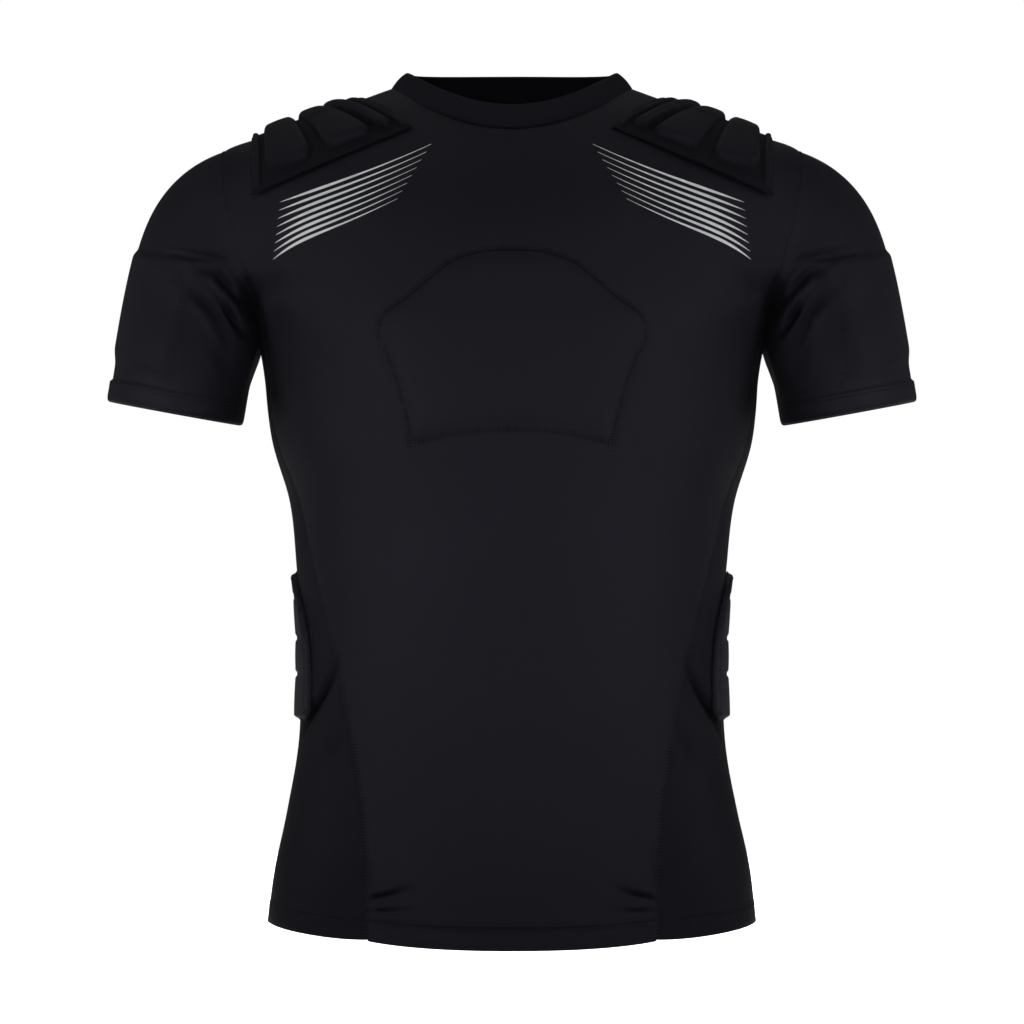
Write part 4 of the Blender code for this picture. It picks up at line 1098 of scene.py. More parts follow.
def settled(tree, points, normals, reach=0.012):
    """Moves points along their normals onto the cloth below them."""
    found, facing = points.copy(), normals.copy()
    for k, (point, normal) in enumerate(zip(points, normals)):
        aim = Vector(normal)
        hit, face_normal = cast(tree, Vector(point) + aim * reach, -aim, 2 * reach)
        if hit is not None:
            found[k], facing[k] = hit, face_normal
    return found, facing


# Where the photo was taken from
VIEW_POINT = np.array((0.0, -3.2, -0.343))


def laid_from_view(tree, x, z):
    """Points and normals of the cloth that show at x, z of the upright plane through the origin."""
    points, normals = np.zeros((len(x), 3)), np.zeros((len(x), 3))
    eye = Vector(VIEW_POINT)
    for k in range(len(x)):
        hit, normal = cast(tree, eye, (Vector((x[k], 0.0, z[k])) - eye).normalized())
        if hit is None:
            raise RuntimeError(f"nothing lies at x {x[k]:.3f}, z {z[k]:.3f}")
        points[k], normals[k] = hit, normal
    return points, normals


def thread_piece(name, starts, ends, normals, radius, finish):
    """Stitches, each a slim thread that comes up at its start and goes down at its end."""
    along = unit(ends - starts)
    aside = unit(np.cross(along, normals))
    upward = np.cross(aside, along)
    count, sides, rows = len(starts), STITCH_SIDES, len(STITCH_ROWS)
    rings = []
    for share, lift, thick in STITCH_ROWS:
        centre = starts + (ends - starts) * share + normals * radius * lift
        for turn in np.arange(sides) * 2 * math.pi / sides:
            rings.append(centre + (aside * math.cos(turn) + upward * math.sin(turn)) * radius * thick)
    points = np.stack(rings, axis=1).reshape(-1, 3)
    caps = np.arange(sides)[::-1], np.arange(sides) + (rows - 1) * sides
    shape = np.concatenate((grid_quads(rows, sides, True)[0], caps))
    quads = (shape[None] + (np.arange(count) * rows * sides)[:, None, None]).reshape(-1, 4)
    spot = np.stack((np.repeat(STITCH_ROWS[:, 0] * STITCH_FLAT[0], sides),
                     np.tile(np.arange(sides) * STITCH_FLAT[1], rows)), -1)
    return mesh_piece(name, points, quads, np.tile(spot[shape], (count, 1, 1)), finish, STITCH_SMOOTH)


def cross_stitches(path, normals, width):
    """Starts, ends and normals of stitches that lie square across a path."""
    lengths = arc_lengths(path, 0)
    at = np.arange(SEAM_STEP / 2, lengths[-1], SEAM_STEP)
    points, up = along_path(path, lengths, at), unit(along_path(normals, lengths, at))
    ahead = along_path(path, lengths, np.minimum(at + SEAM_AHEAD, lengths[-1]))
    aside = unit(np.cross(ahead - points, up)) * width / 2
    return points - aside, points + aside, up


def running_stitches(path, normals, length, gap):
    """Starts, ends and normals of stitches that lie end to end along a path."""
    lengths = arc_lengths(path, 0)
    at = np.arange(gap, lengths[-1] - length, length + gap)
    first, last = (along_path(path, lengths, place) for place in (at, at + length))
    return first, last, unit(sum(along_path(normals, lengths, place) for place in (at, at + length)))


def laid_stitches(tree, stitches):
    """Sets both ends of stitches down on the cloth."""
    first, last, up = stitches
    starts, ends = (settled(tree, points, up)[0] for points in (first, last))
    facing = settled(tree, (starts + ends) / 2, up)[1]
    keeps = np.linalg.norm(ends - starts, axis=1) < STITCH_MOST * np.linalg.norm(last - first, axis=1)
    return starts[keeps], ends[keeps], facing[keeps]


def on_both_sides(stitches):
    """Stitches made for the left side, and the same ones on the right."""
    return [tuple(on_side(part, sign) for part in stitches) for _, sign in SIDES]


def joined_stitches(parts):
    return tuple(np.concatenate([part[k] for part in parts]) for k in range(3))


# Node helpers
def add_node(tree, kind, **settings):
    node = tree.nodes.new(kind)
    for key, value in settings.items():
        setattr(node, key, value)
    return node


def feed(tree, target, source):
    """Links a socket to an input, or sets the input's own value."""
    if isinstance(source, bpy.types.NodeSocket):
        tree.links.new(source, target)
    else:
        target.default_value = source


def calculate(tree, operation, *sources):
    node = add_node(tree, "ShaderNodeMath", operation=operation)
    for target, source in zip(node.inputs, sources):
        feed(tree, target, source)
    return node.outputs[0]


def stepped(tree, value, low, high, to_low=0.0, to_high=1.0):
    """Smooth step of a value between two levels."""
    node = add_node(tree, "ShaderNodeMapRange", interpolation_type="SMOOTHSTEP")
    names = ("Value", "From Min", "From Max", "To Min", "To Max")
    for name, source in zip(names, (value, low, high, to_low, to_high)):
        feed(tree, node.inputs[name], source)
    return node.outputs["Result"]


def new_group(name, inputs, outputs):
    """An empty node group: a vector and named numbers with their defaults go in, named numbers come out."""
    group = bpy.data.node_groups.new(name, "ShaderNodeTree")
    group.interface.new_socket("Vector", in_out="INPUT", socket_type="NodeSocketVector")
    for label, value in inputs:
        group.interface.new_socket(label, in_out="INPUT", socket_type="NodeSocketFloat").default_value = value
    for label in outputs:
        group.interface.new_socket(label, in_out="OUTPUT", socket_type="NodeSocketFloat")
    return group, add_node(group, "NodeGroupInput").outputs, add_node(group, "NodeGroupOutput").inputs


# Knitted loops: how far their legs lean, and the share of their height that waves, with the rest
LOOP_LEAN, LOOP_WAVE = 1.4, (0.28, 0.72)
# Painted shade: a loop's gain by its height and the value between loops, a hole's loss and the ground's value
LOOP_PAINTED_SHADE, HOLE_PAINTED_SHADE = (0.35, 0.78), (-0.62, 1.0)
# How soft the rim of a hole is, as a share of a hole's step
HOLE_SOFT = 0.14
# Tone: scale, detail and input of each noise, then the shares of the two noises in knit and in mesh
TONE_NOISE = ((9.0, 3.0, "Amount"), (900.0, 1.0, "Grain"))
KNIT_TONE, MESH_TONE = (0.22, 0.18), (0.2, 0.16)


@lru_cache(maxsize=None)
def knit_group():
    """Rows of knitted loops on the flat cloth: two leaning legs in each column."""
    group, given, result = new_group("knit_loops", (("Columns", 1300.0), ("Rows", 1700.0)), ("Height",))
    work = partial(calculate, group)
    parts = add_node(group, "ShaderNodeSeparateXYZ")
    group.links.new(given["Vector"], parts.inputs[0])
    column = work("FRACT", work("MULTIPLY", parts.outputs["X"], given["Columns"]))
    aside = work("ABSOLUTE", work("SUBTRACT", column, 0.5))
    off_leg = work("MULTIPLY", work("SUBTRACT", aside, 0.25), 4.0)
    leg = work("SUBTRACT", 1.0, work("MULTIPLY", off_leg, off_leg))
    row = work("MULTIPLY", parts.outputs["Y"], given["Rows"])
    leaning = work("ADD", row, work("MULTIPLY", aside, LOOP_LEAN))
    wave = work("COSINE", work("MULTIPLY", leaning, 2 * math.pi))
    group.links.new(work("MULTIPLY", leg, work("MULTIPLY_ADD", wave, *LOOP_WAVE)), result["Height"])
    return group


@lru_cache(maxsize=None)
def mesh_hole_group():
    """Round holes in staggered rows on the flat cloth."""
    group, given, result = new_group("mesh_holes", (("Holes", 420.0), ("Size", 0.3)), ("Hole", "Height"))
    work = partial(calculate, group)
    parts = add_node(group, "ShaderNodeSeparateXYZ")
    group.links.new(given["Vector"], parts.inputs[0])
    row = work("MULTIPLY", parts.outputs["Y"], given["Holes"])
    odd = work("MULTIPLY", work("MODULO", work("FLOOR", row), 2.0), 0.5)
    column = work("ADD", work("MULTIPLY", parts.outputs["X"], given["Holes"]), odd)
    x, y = (work("SUBTRACT", work("FRACT", place), 0.5) for place in (column, row))
    away = work("SQRT", work("ADD", work("MULTIPLY", x, x), work("MULTIPLY", y, y)))
    hole = stepped(group, away, given["Size"], work("ADD", given["Size"], HOLE_SOFT), 1.0, 0.0)
    group.links.new(hole, result["Hole"])
    group.links.new(work("SUBTRACT", 1.0, hole), result["Height"])
    return group


@lru_cache(maxsize=None)
def tone_group():
    """Slow changes of tone in dyed cloth, with a fine grain on top."""
    group, given, result = new_group("cloth_tone", (("Amount", 0.2), ("Grain", 0.1)), ("Tone",))
    tone = 1.0
    for scale, detail, share in TONE_NOISE:
        noise = add_node(group, "ShaderNodeTexNoise")
        noise.inputs["Scale"].default_value = scale
        noise.inputs["Detail"].default_value = detail
        group.links.new(given["Vector"], noise.inputs["Vector"])
        change = calculate(group, "SUBTRACT", noise.outputs["Fac"], 0.5)
        tone = calculate(group, "MULTIPLY_ADD", change, given[share], tone)
    group.links.new(tone, result["Tone"])
    return group


def place_group(tree, group, **values):
    node = add_node(tree, "ShaderNodeGroup", node_tree=group)
    for name, value in values.items():
        feed(tree, node.inputs[name], value)
    return node


Surface = namedtuple("Surface", "roughness specular sheen sheen_roughness")
# Cool tint of the cloth's gloss
GLOSS_TINT = (0.82, 0.8, 1.0, 1.0)


def start_material(name, surface):
    """A material with its Principled BSDF, its constant values set on the shader's own sockets."""
    made = bpy.data.materials.new(name)
    made.use_nodes = True
    shader = made.node_tree.nodes["Principled BSDF"]
    sockets = ("Roughness", "Specular IOR Level", "Sheen Weight", "Sheen Roughness")
    for socket, value in zip(sockets, surface):
        shader.inputs[socket].default_value = value
    shader.inputs["Specular Tint"].default_value = GLOSS_TINT
    return made, made.node_tree, shader


def tinted(tree, colour, tone):
    """A colour made lighter or darker by a tone."""
    node = add_node(tree, "ShaderNodeMix", data_type="RGBA", blend_type="MULTIPLY")
    node.inputs["Factor"].default_value = 1.0
    node.inputs["A"].default_value = (*colour, 1)
    grey = add_node(tree, "ShaderNodeCombineColor")
    for channel in grey.inputs:
        tree.links.new(tone, channel)
    tree.links.new(grey.outputs[0], node.inputs["B"])
    return node.outputs["Result"]


def bumped(tree, shader, height, distance):
    bump = add_node(tree, "ShaderNodeBump")
    bump.inputs["Distance"].default_value = distance
    bump.inputs["Strength"].default_value = 1.0
    tree.links.new(height, bump.inputs["Height"])
    tree.links.new(bump.outputs["Normal"], shader.inputs["Normal"])


def colour_with_painted_shade(tree, shader, colour, surface, tone):
    """Colours a shader, with painted shade from a fixed attribute: darker and duller down in the folds of the
    cloth.
    """
    shade = add_node(tree, "ShaderNodeAttribute", attribute_name="fold_shade")
    light = calculate(tree, "SUBTRACT", 1.0, shade.outputs["Fac"])
    dyed = tinted(tree, colour, calculate(tree, "MULTIPLY", tone, light))
    tree.links.new(dyed, shader.inputs["Base Color"])
    rough = calculate(tree, "MULTIPLY_ADD", shade.outputs["Fac"], 1 - surface.roughness, surface.roughness)
    tree.links.new(rough, shader.inputs["Roughness"])


def toned(tree, amount, grain):
    """Places on the flat cloth, and the slow tone of its dye."""
    place = add_node(tree, "ShaderNodeTexCoord")
    tone = place_group(tree, tone_group(), Vector=place.outputs["Object"], Amount=amount, Grain=grain)
    return place.outputs["UV"], tone.outputs["Tone"]


def knit_material(name, colour, surface, columns, rows, depth):
    """Knitted cloth: loops in relief, with painted shade between them."""
    made, tree, shader = start_material(name, surface)
    flat, tone = toned(tree, *KNIT_TONE)
    knit = place_group(tree, knit_group(), Vector=flat, Columns=columns, Rows=rows)
    # Painted shade: loops lighter by their height, darker between them
    loops = calculate(tree, "MULTIPLY_ADD", knit.outputs["Height"], *LOOP_PAINTED_SHADE)
    colour_with_painted_shade(tree, shader, colour, surface, calculate(tree, "MULTIPLY", loops, tone))
    bumped(tree, shader, knit.outputs["Height"], depth)
    return made


def mesh_material(name, colour, surface, holes, size, depth):
    """Knitted mesh: small holes, darkened inside by painted shade, in a knitted ground."""
    made, tree, shader = start_material(name, surface)
    flat, tone = toned(tree, *MESH_TONE)
    mesh = place_group(tree, mesh_hole_group(), Vector=flat, Holes=holes, Size=size)
    # Painted shade inside the holes
    open_part = calculate(tree, "MULTIPLY_ADD", mesh.outputs["Hole"], *HOLE_PAINTED_SHADE)
    colour_with_painted_shade(tree, shader, colour, surface, calculate(tree, "MULTIPLY", open_part, tone))
    bumped(tree, shader, mesh.outputs["Height"], depth)
    return made


def plain_material(name, colour, surface, grain, depth, amount=0.1):
    """Fine-grained surface with no pattern of its own, such as thread or print."""
    made, tree, shader = start_material(name, surface)
    _, tone = toned(tree, amount, grain)
    tree.links.new(tinted(tree, colour, tone), shader.inputs["Base Color"])
    bumped(tree, shader, tone, depth)
    return made


# Finishes, named like their colours in the panel: how each is made, its material's name, surface and values
Finish = namedtuple("Finish", "make material surface values")
JERSEY = Surface(0.46, 0.14, 0.004, 0.4)
THREAD = Surface(0.5, 0.15, 0.0, 0.5)
# Knitted loops of the jersey and of the pads' covers: columns and rows to a metre, and their depth
JERSEY_LOOPS, COVER_LOOPS = (1250, 1650, 0.0001), (1250, 1650, 0.00008)
FINISHES = {
    "jersey": Finish(knit_material, "black_jersey", JERSEY, JERSEY_LOOPS),
    "sleeve": Finish(knit_material, "sleeve_jersey", JERSEY, JERSEY_LOOPS),
    "inside": Finish(knit_material, "jersey_inside", Surface(0.8, 0.03, 0.0, 0.4), JERSEY_LOOPS),
    "mesh": Finish(mesh_material, "black_mesh", Surface(0.5, 0.04, 0.004, 0.4), (620, 0.2, 0.00012)),
    "band": Finish(knit_material, "black_band", Surface(0.68, 0.05, 0.002, 0.45), (900, 1500, 0.00014)),
    "pad_cover": Finish(knit_material, "black_pad_cover", Surface(0.48, 0.11, 0.004, 0.4), COVER_LOOPS),
    # Rib pads' cover: the shoulder pads' cover painted lighter for the light on their sideways faces
    "rib_cover": Finish(knit_material, "black_rib_cover", Surface(0.44, 0.14, 0.006, 0.4), COVER_LOOPS),
    "lining": Finish(mesh_material, "pad_lining", Surface(0.8, 0.08, 0.0, 0.5), (520, 0.24, 0.0002)),
    "thread": Finish(plain_material, "sewing_thread", THREAD, (0.4, 0.0001)),
    "light_thread": Finish(plain_material, "light_thread", THREAD, (0.8, 0.0001, 2.0)),
    # Dark strip round the chest pad: painted shade of the groove along its edge
    "seam": Finish(plain_material, "seam_edge", Surface(0.7, 0.05, 0.0, 0.5), (0.3, 0.0001)),
    "stripe": Finish(plain_material, "silver_print", Surface(0.42, 0.4, 0.0, 0.5), (0.16, 0.00004)),
    "floor": Finish(plain_material, "pale_floor", Surface(0.9, 0.05, 0.0, 0.5), (0.02, 0.0001)),
}


@lru_cache(maxsize=None)
def finish(name):
    """One of the materials, made once from its colour in the panel."""
    make, material, surface, values = FINISHES[name]
    return make(material, tuple(getattr(bpy.context.scene.vest_colours, name)), surface, *values)


def length_property(name, description, default, least, most):
    return bpy.props.FloatProperty(
        name=name, description=description, default=default, min=least, max=most, unit="LENGTH")


class VestSizes(bpy.types.PropertyGroup):
    """Sizes that a user may change."""

    cloth: length_property("Cloth", "Thickness of the body cloth", 0.0015, 0.001, 0.003)
    neckband: length_property("Neckband", "Thickness of the doubled neckband", 0.003, 0.002, 0.003)
    creases: bpy.props.FloatProperty(
        name="Creases", description="Depth of the creases, as a share of the worn cloth's", default=1.0,
        min=0.0, max=1.5, subtype="FACTOR")
    chest_lift: length_property(
        "Chest lift", "How far the chest pad pushes the front out", 0.0016, 0.0, 0.004)
    pad_crown: length_property(
        "Pad crown", "Swell of a shoulder pad's blocks over their edges", 0.0009, 0.0, 0.003)
    thread: length_property("Thread", "Radius of the sewing thread", 0.00024, 0.0001, 0.0006)
    stripe: length_property("Stripe", "Greatest width of a printed stripe", 0.0021, 0.001, 0.006)
    floor_drop: length_property("Floor drop", "Height of the hem above the floor", 0.26, 0.0, 1.0)


def colour_property(name, description, default):
    return bpy.props.FloatVectorProperty(
        name=name, description=description, default=default, size=3, min=0.0, max=1.0, subtype="COLOR")


class VestColours(bpy.types.PropertyGroup):
    """Colours that a user may change."""

    jersey: colour_property("Jersey", "Cloth of the front and back", (0.0074, 0.007, 0.0102))
    sleeve: colour_property("Sleeve", "Cloth of the sleeves", (0.0087, 0.0083, 0.012))
    # Darker than the jersey: its reverse side, with painted shade inside the garment
    inside: colour_property("Inside", "Inner face of the cloth", (0.0068, 0.0066, 0.0088))
    mesh: colour_property("Mesh", "Mesh of the side panels", (0.0122, 0.0118, 0.0158))
    band: colour_property("Band", "Neckband", (0.0112, 0.0107, 0.0147))
    pad_cover: colour_property("Pad cover", "Cover of the shoulder pads", (0.0074, 0.007, 0.01))
    # Lighter than the shoulder pads' cover: painted light for the rib pads' sideways faces
    rib_cover: colour_property("Rib cover", "Cover of the rib pads", (0.0122, 0.0117, 0.0162))
    lining: colour_property("Lining", "Back of the inner pads", (0.012, 0.0118, 0.014))
    thread: colour_property("Thread", "Sewing thread of the hems and pads", (0.009, 0.0086, 0.0118))
    light_thread: colour_property(
        "Light thread", "Sewing thread of the seams and inner pads", (0.015, 0.0146, 0.0184))
    # Dark strip round the chest pad: painted shade of the groove along its edge
    seam: colour_property("Seam", "Sunken edge of a sewn-in pad", (0.005, 0.0047, 0.0066))
    stripe: colour_property("Stripe", "Printed stripes", (0.74, 0.74, 0.755))
    floor: colour_property("Floor", "Floor of the stage", (0.93, 0.93, 0.93))


def grid_area(points):
    a, b, c, d = points[:-1, :-1], points[:-1, 1:], points[1:, 1:], points[1:, :-1]
    return (np.linalg.norm(np.cross(c - a, d - b), axis=-1) / 2).sum()


def declare_cloth(skin, rests_on):
    """Works out the box and the area of a cloth piece's grid laid flat, and does nothing more with them."""
    width = float(np.ptp(skin.flat[..., 0]))
    length = float(np.ptp(skin.flat[..., 1]))
    area = min(float(grid_area(skin.points)), width * length)
    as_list(rests_on)


def belongs(piece, node):
    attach(piece, "root")
    if node:
        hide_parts(node)
    return piece


def need_free(*names):
    """Stops if a piece is there already."""
    for name in names:
        if name in bpy.data.objects:
            raise RuntimeError(f"{name} is there already")


def cloth_pair(skin, cloth):
    """Outer and inner faces of a body panel, its side edges just past the seams and its hem edge round."""
    outer = draw_sides_in(skin.points, -SEAM_OVERLAP)
    return rounded_edge(outer, outer - skin.normals * cloth, skin.flat, 0)


def make_cloth(node, grids, skin, cover, rests_on, ring=False):
    """Makes the cloth piece that stands for a node, and works out its cut."""
    piece = wall_piece(f"vest_{node}", *grids, finish(cover), ring=ring, inside=finish("inside"))
    belongs(piece, node)
    declare_cloth(skin, rests_on)


def make_pads(kind, grids, cover):
    """Makes the left and the right pad of a kind from the grids of the left one."""
    outer, under, flat = grids
    for side, sign in SIDES:
        faces = on_side(outer, sign), on_side(under, sign)
        piece = wall_piece(f"vest_{kind}_{side}", *faces, flat, finish(cover))
        belongs(piece, f"{kind}_{side}")


# Panels of the body: the node that each stands for, its finish and the panels that hold it
BODY_PANELS = (
    ("front", "jersey", ["side_left", "side_right", "back"]),
    ("back", "jersey", ["side_left", "side_right", "front"]),
    ("side_left", "mesh", ["front", "back"]),
    ("side_right", "mesh", ["front", "back"]),
)


def body_skins(sizes):
    """Outer faces of the body's panels, in the order of their table."""
    sides = (side_skin(sign, sizes.creases) for _, sign in SIDES)
    return [front_skin(sizes.chest_lift, sizes.creases), back_skin(sizes.creases), *sides]


class VEST_OT_body(bpy.types.Operator):
    """Makes the front, swelled over the chest pad, the back and the two mesh side panels"""

    bl_idname = "vest.body"
    bl_label = "Body"

    def execute(self, context):
        need_free(*(f"vest_{node}" for node, _, _ in BODY_PANELS))
        sizes = context.scene.vest_sizes
        for (node, cover, rests_on), skin in zip(BODY_PANELS, body_skins(sizes)):
            make_cloth(node, cloth_pair(skin, sizes.cloth), skin, cover, rests_on)
        return {"FINISHED"}


class VEST_OT_sleeves(bpy.types.Operator):
    """Makes the two sleeves with their creases and cuff hems"""

    bl_idname = "vest.sleeves"
    bl_label = "Sleeves"

    def execute(self, context):
        need_free("vest_sleeve_left", "vest_sleeve_right")
        sizes = context.scene.vest_sizes
        skin = sleeve_skin(sizes.creases)
        inner = skin.points - skin.normals * sizes.cloth
        outer, inner, flat = rounded_edge(skin.points, inner, skin.flat, -1)
        for side, sign in SIDES:
            grids = on_side(outer, sign), on_side(inner, sign), flat
            rests_on = ["front", "back", f"side_{side}"]
            make_cloth(f"sleeve_{side}", grids, skin, "sleeve", rests_on, ring=True)
        return {"FINISHED"}


class VEST_OT_neckband(bpy.types.Operator):
    """Makes the doubled neckband with its rolled upper edge"""

    bl_idname = "vest.neckband"
    bl_label = "Neckband"

    def execute(self, context):
        need_free("vest_neckband")
        skin = neckband_skin()
        inner = skin.points - skin.normals * context.scene.vest_sizes.neckband
        grids = rolled_edge(skin.points, inner, skin.flat)
        make_cloth("neckband", grids, skin, "band", ["front", "back"], ring=True)
        return {"FINISHED"}


class VEST_OT_outer_pads(bpy.types.Operator):
    """Makes the block pads on the shoulders and the ribs"""

    bl_idname = "vest.outer_pads"
    bl_label = "Shoulder and rib pads"

    def execute(self, context):
        need_free("vest_shoulder_pad_left", "vest_rib_pad_left")
        crown = context.scene.vest_sizes.pad_crown
        make_pads("shoulder_pad", shoulder_pad_grids(crown), "pad_cover")
        make_pads("rib_pad", rib_pad_grids(crown * RIB_CROWN_SHARE), "rib_cover")
        return {"FINISHED"}


class VEST_OT_inner_pads(bpy.types.Operator):
    """Makes the flat pads behind the front and inside the sleeves"""

    bl_idname = "vest.inner_pads"
    bl_label = "Chest and sleeve pads"

    def execute(self, context):
        need_free("vest_chest_pad", "vest_sleeve_pad_left")
        sizes = context.scene.vest_sizes
        grids = chest_pad_grids(sizes.cloth, sizes.chest_lift)
        piece = wall_piece("vest_chest_pad", *grids, finish("lining"))
        belongs(piece, "chest_pad")
        make_pads("sleeve_pad", sleeve_pad_grids(sizes.cloth, sizes.creases), "lining")
        return {"FINISHED"}


def stripe_grid(tree, number, widest, sign):
    """Points and normals of one tapered stripe, three across, on one side of the front."""
    share = number / (STRIPE_COUNT - 1)
    inner, outer = between(STRIPE_INNER, share), between(STRIPE_OUTER, share)
    widest_at = between(STRIPE_WIDEST_AT, share)
    t = np.linspace(0, 1, STRIPE_STEPS)[:, None]
    sag, bow = (height * np.sin(np.pi * t**lean) for height, lean in (STRIPE_SAG, STRIPE_BOW))
    run = (outer - inner) / np.linalg.norm(outer - inner)
    upward = np.array((-run[1], run[0]))
    centre = inner + (outer - inner) * t + upward * (bow * share - sag * (1 - share))
    rising = between((STRIPE_TIPS[0], 1), np.minimum(t / widest_at, 1) ** STRIPE_GROWTH)
    past = np.clip((t - widest_at) / (1 - widest_at), 0, 1)
    falling = between((STRIPE_TIPS[1], 1), (1 - past**2) ** STRIPE_FALL)
    half = widest / 2 * (1 + STRIPE_WIDEN * share) * rising * falling
    rows = np.stack([centre + upward * half * k for k in (-1, 0, 1)], axis=1)
    points, normals = laid_from_view(tree, sign * rows[..., 0].ravel(), rows[..., 1].ravel())
    return points.reshape(rows.shape[0], 3, 3), normals.reshape(rows.shape[0], 3, 3)


class VEST_OT_stripes(bpy.types.Operator):
    """Makes the tapered stripes printed on both sides of the chest"""

    bl_idname = "vest.stripes"
    bl_label = "Stripes"

    def execute(self, context):
        need_free("vest_stripes_left", "vest_stripes_right")
        sizes = context.scene.vest_sizes
        tree = skin_tree([(front_skin(sizes.chest_lift, sizes.creases).points, False)])
        for side, sign in SIDES:
            strips = []
            for number in range(STRIPE_COUNT):
                points, normals = stripe_grid(tree, number, sizes.stripe, sign)
                outer, under = (points + normals * height for height in STRIPE_FACES)
                flat = np.stack((arc_lengths(points, 1), arc_lengths(points, 0)), axis=-1)
                strips.append(wall_piece(f"stripe_{number}", outer, under, flat, finish("stripe")))
            bpy.ops.object.select_all(action="DESELECT")
            for strip in strips:
                strip.select_set(True)
            piece = context.view_layer.objects.active = strips[0]
            bpy.ops.object.join()
            piece.name = piece.data.name = f"vest_stripes_{side}"
            belongs(piece, None)
        return {"FINISHED"}


def cloth_tree(sizes):
    """Search tree over all the outer cloth."""
    panels = [(skin.points, False) for skin in body_skins(sizes)]
    sleeve = sleeve_skin(sizes.creases).points
    return skin_tree(panels + [(on_side(sleeve, sign), True) for _, sign in SIDES])


def on_front(tree, places):
    """Points and normals of the front's cloth at places (x, z)."""
    angle, station = seen_at(np.abs(places[:, 0]), places[:, 1])
    angle = np.copysign(angle, places[:, 0])
    return settled(tree, *torso_face(angle, station))


def outline_aside(outline):
    ahead = np.roll(outline, -1, axis=0) - np.roll(outline, 1, axis=0)
    return unit(np.stack((ahead[:, 1], -ahead[:, 0]), axis=1))


def chest_pad_edge(tree):
    """Outer face and underside of the narrow sunken edge round the chest pad, and its flat places."""
    # Its dark colour is painted shade of the groove along the pad's edge
    outline = chest_outline(CHEST_SEWN_POINTS)
    aside = outline_aside(outline)
    upper = ramp(outline[:, 1:], *CHEST_UPPER)
    half = between(CHEST_EDGE_WIDTH, upper)
    outer, under = [], []
    for off, lift in CHEST_EDGE_ROWS:
        points, normals = on_front(tree, outline + aside * (off * half - CHEST_EDGE_INSET * upper))
        outer.append(points + normals * lift)
        under.append(points - normals * CHEST_EDGE_DEPTH)
    rows, columns = np.arange(len(outer)), np.arange(len(outline) + 1)
    flat = np.stack(np.meshgrid(rows, columns, indexing="ij"), axis=-1) * CHEST_EDGE_FLAT
    return np.array(outer), np.array(under), flat


def chest_pad_stitches(tree):
    """Close stitches square across the edge of the chest pad, and a square tack at its lower corners."""
    outline = chest_outline(CHEST_SEWN_POINTS)
    aside = outline_aside(outline) * CHEST_STITCH / 2
    first, last = [outline - aside], [outline + aside]
    half = TACK_SIZE / 2
    for sign in (-1, 1):
        x, z = CHEST_SEAM[0] * (sign, 1)
        for off in TACK_THREADS:
            first.append(np.array(((x + off * half, z - half), (x - half, z + off * half))))
            last.append(np.array(((x + off * half, z + half), (x + half, z + off * half))))
    starts, up = on_front(tree, np.concatenate(first))
    ends, _ = on_front(tree, np.concatenate(last))
    return starts, ends, up


def hem_stitches(tree):
    """Two rows of stitches round the body hem."""
    parts = []
    angle = np.linspace(0, 2 * np.pi, HEM_PATH_POINTS)
    for below in HEM_STITCHES_BELOW:
        station = np.full_like(angle, HEM - below)
        path, normals = torso_face(angle, station)
        parts.append(laid_stitches(tree, running_stitches(path, normals, *HEM_RUN)))
    return joined_stitches(parts)


def cuff_stitches(sizes, tree):
    """Two rows of stitches round each cuff."""
    skin = sleeve_skin(sizes.creases)
    points, normals = closed(skin.points), closed(skin.normals)
    parts = []
    for row in CUFF_STITCH_ROWS:
        for _, sign in SIDES:
            path = on_side(points[row], sign), on_side(normals[row], sign)
            parts.append(laid_stitches(tree, running_stitches(*path, *HEM_RUN)))
    return joined_stitches(parts)


def seam_stitches(sizes, tree):
    """Flat stitches across the side seams, the armholes and the shoulder seams."""
    parts = []
    for skin in body_skins(sizes)[:2]:
        x, y, z = skin.points[:, 0].T
        stretches = [z < SIDE_SEAM_TOP]
        if y[0] < 0:
            stretches.append((np.abs(x) < SHOULDER_SEAM_END) & (z > SHOULDER_SEAM_FOOT))
        for edge in (0, -1):
            for rows in stretches:
                parts.append(cross_stitches(skin.points[rows, edge], skin.normals[rows, edge], SEAM_WIDTH))
    sleeve = sleeve_skin(sizes.creases)
    path, normals = closed(sleeve.points)[0], closed(sleeve.normals)[ARMHOLE_NORMALS_ROW]
    for _, sign in SIDES:
        parts.append(cross_stitches(on_side(path, sign), on_side(normals, sign), ARMHOLE_WIDTH))
    return laid_stitches(tree, joined_stitches(parts))


# Threads (x, z to x, z) of the tacks above and below the sleeve pad's stitched line, as seen from the front
SLEEVE_TACK = (
    (0.2662, -0.13, 0.2646, -0.1334), (0.263, -0.13, 0.2646, -0.1334),
    (0.2646, -0.1334, 0.2646, -0.1372), (0.2682, -0.1402, 0.262, -0.1402),
    (0.2682, -0.1424, 0.262, -0.1424), (0.2692, -0.2372, 0.2692, -0.242),
    (0.2672, -0.2372, 0.2672, -0.242),
)
SLEEVE_PAD_LINE = ((0.2667, -0.148), (0.2662, -0.175), (0.2655, -0.2057), (0.265, -0.233))
# Stitches of this line: step and half width, and a distance before or behind the sleeve that is clear of it
SLEEVE_STITCH_STEP, SLEEVE_STITCH_HALF, SLEEVE_CLEAR = 0.0023, 0.0022, 0.4


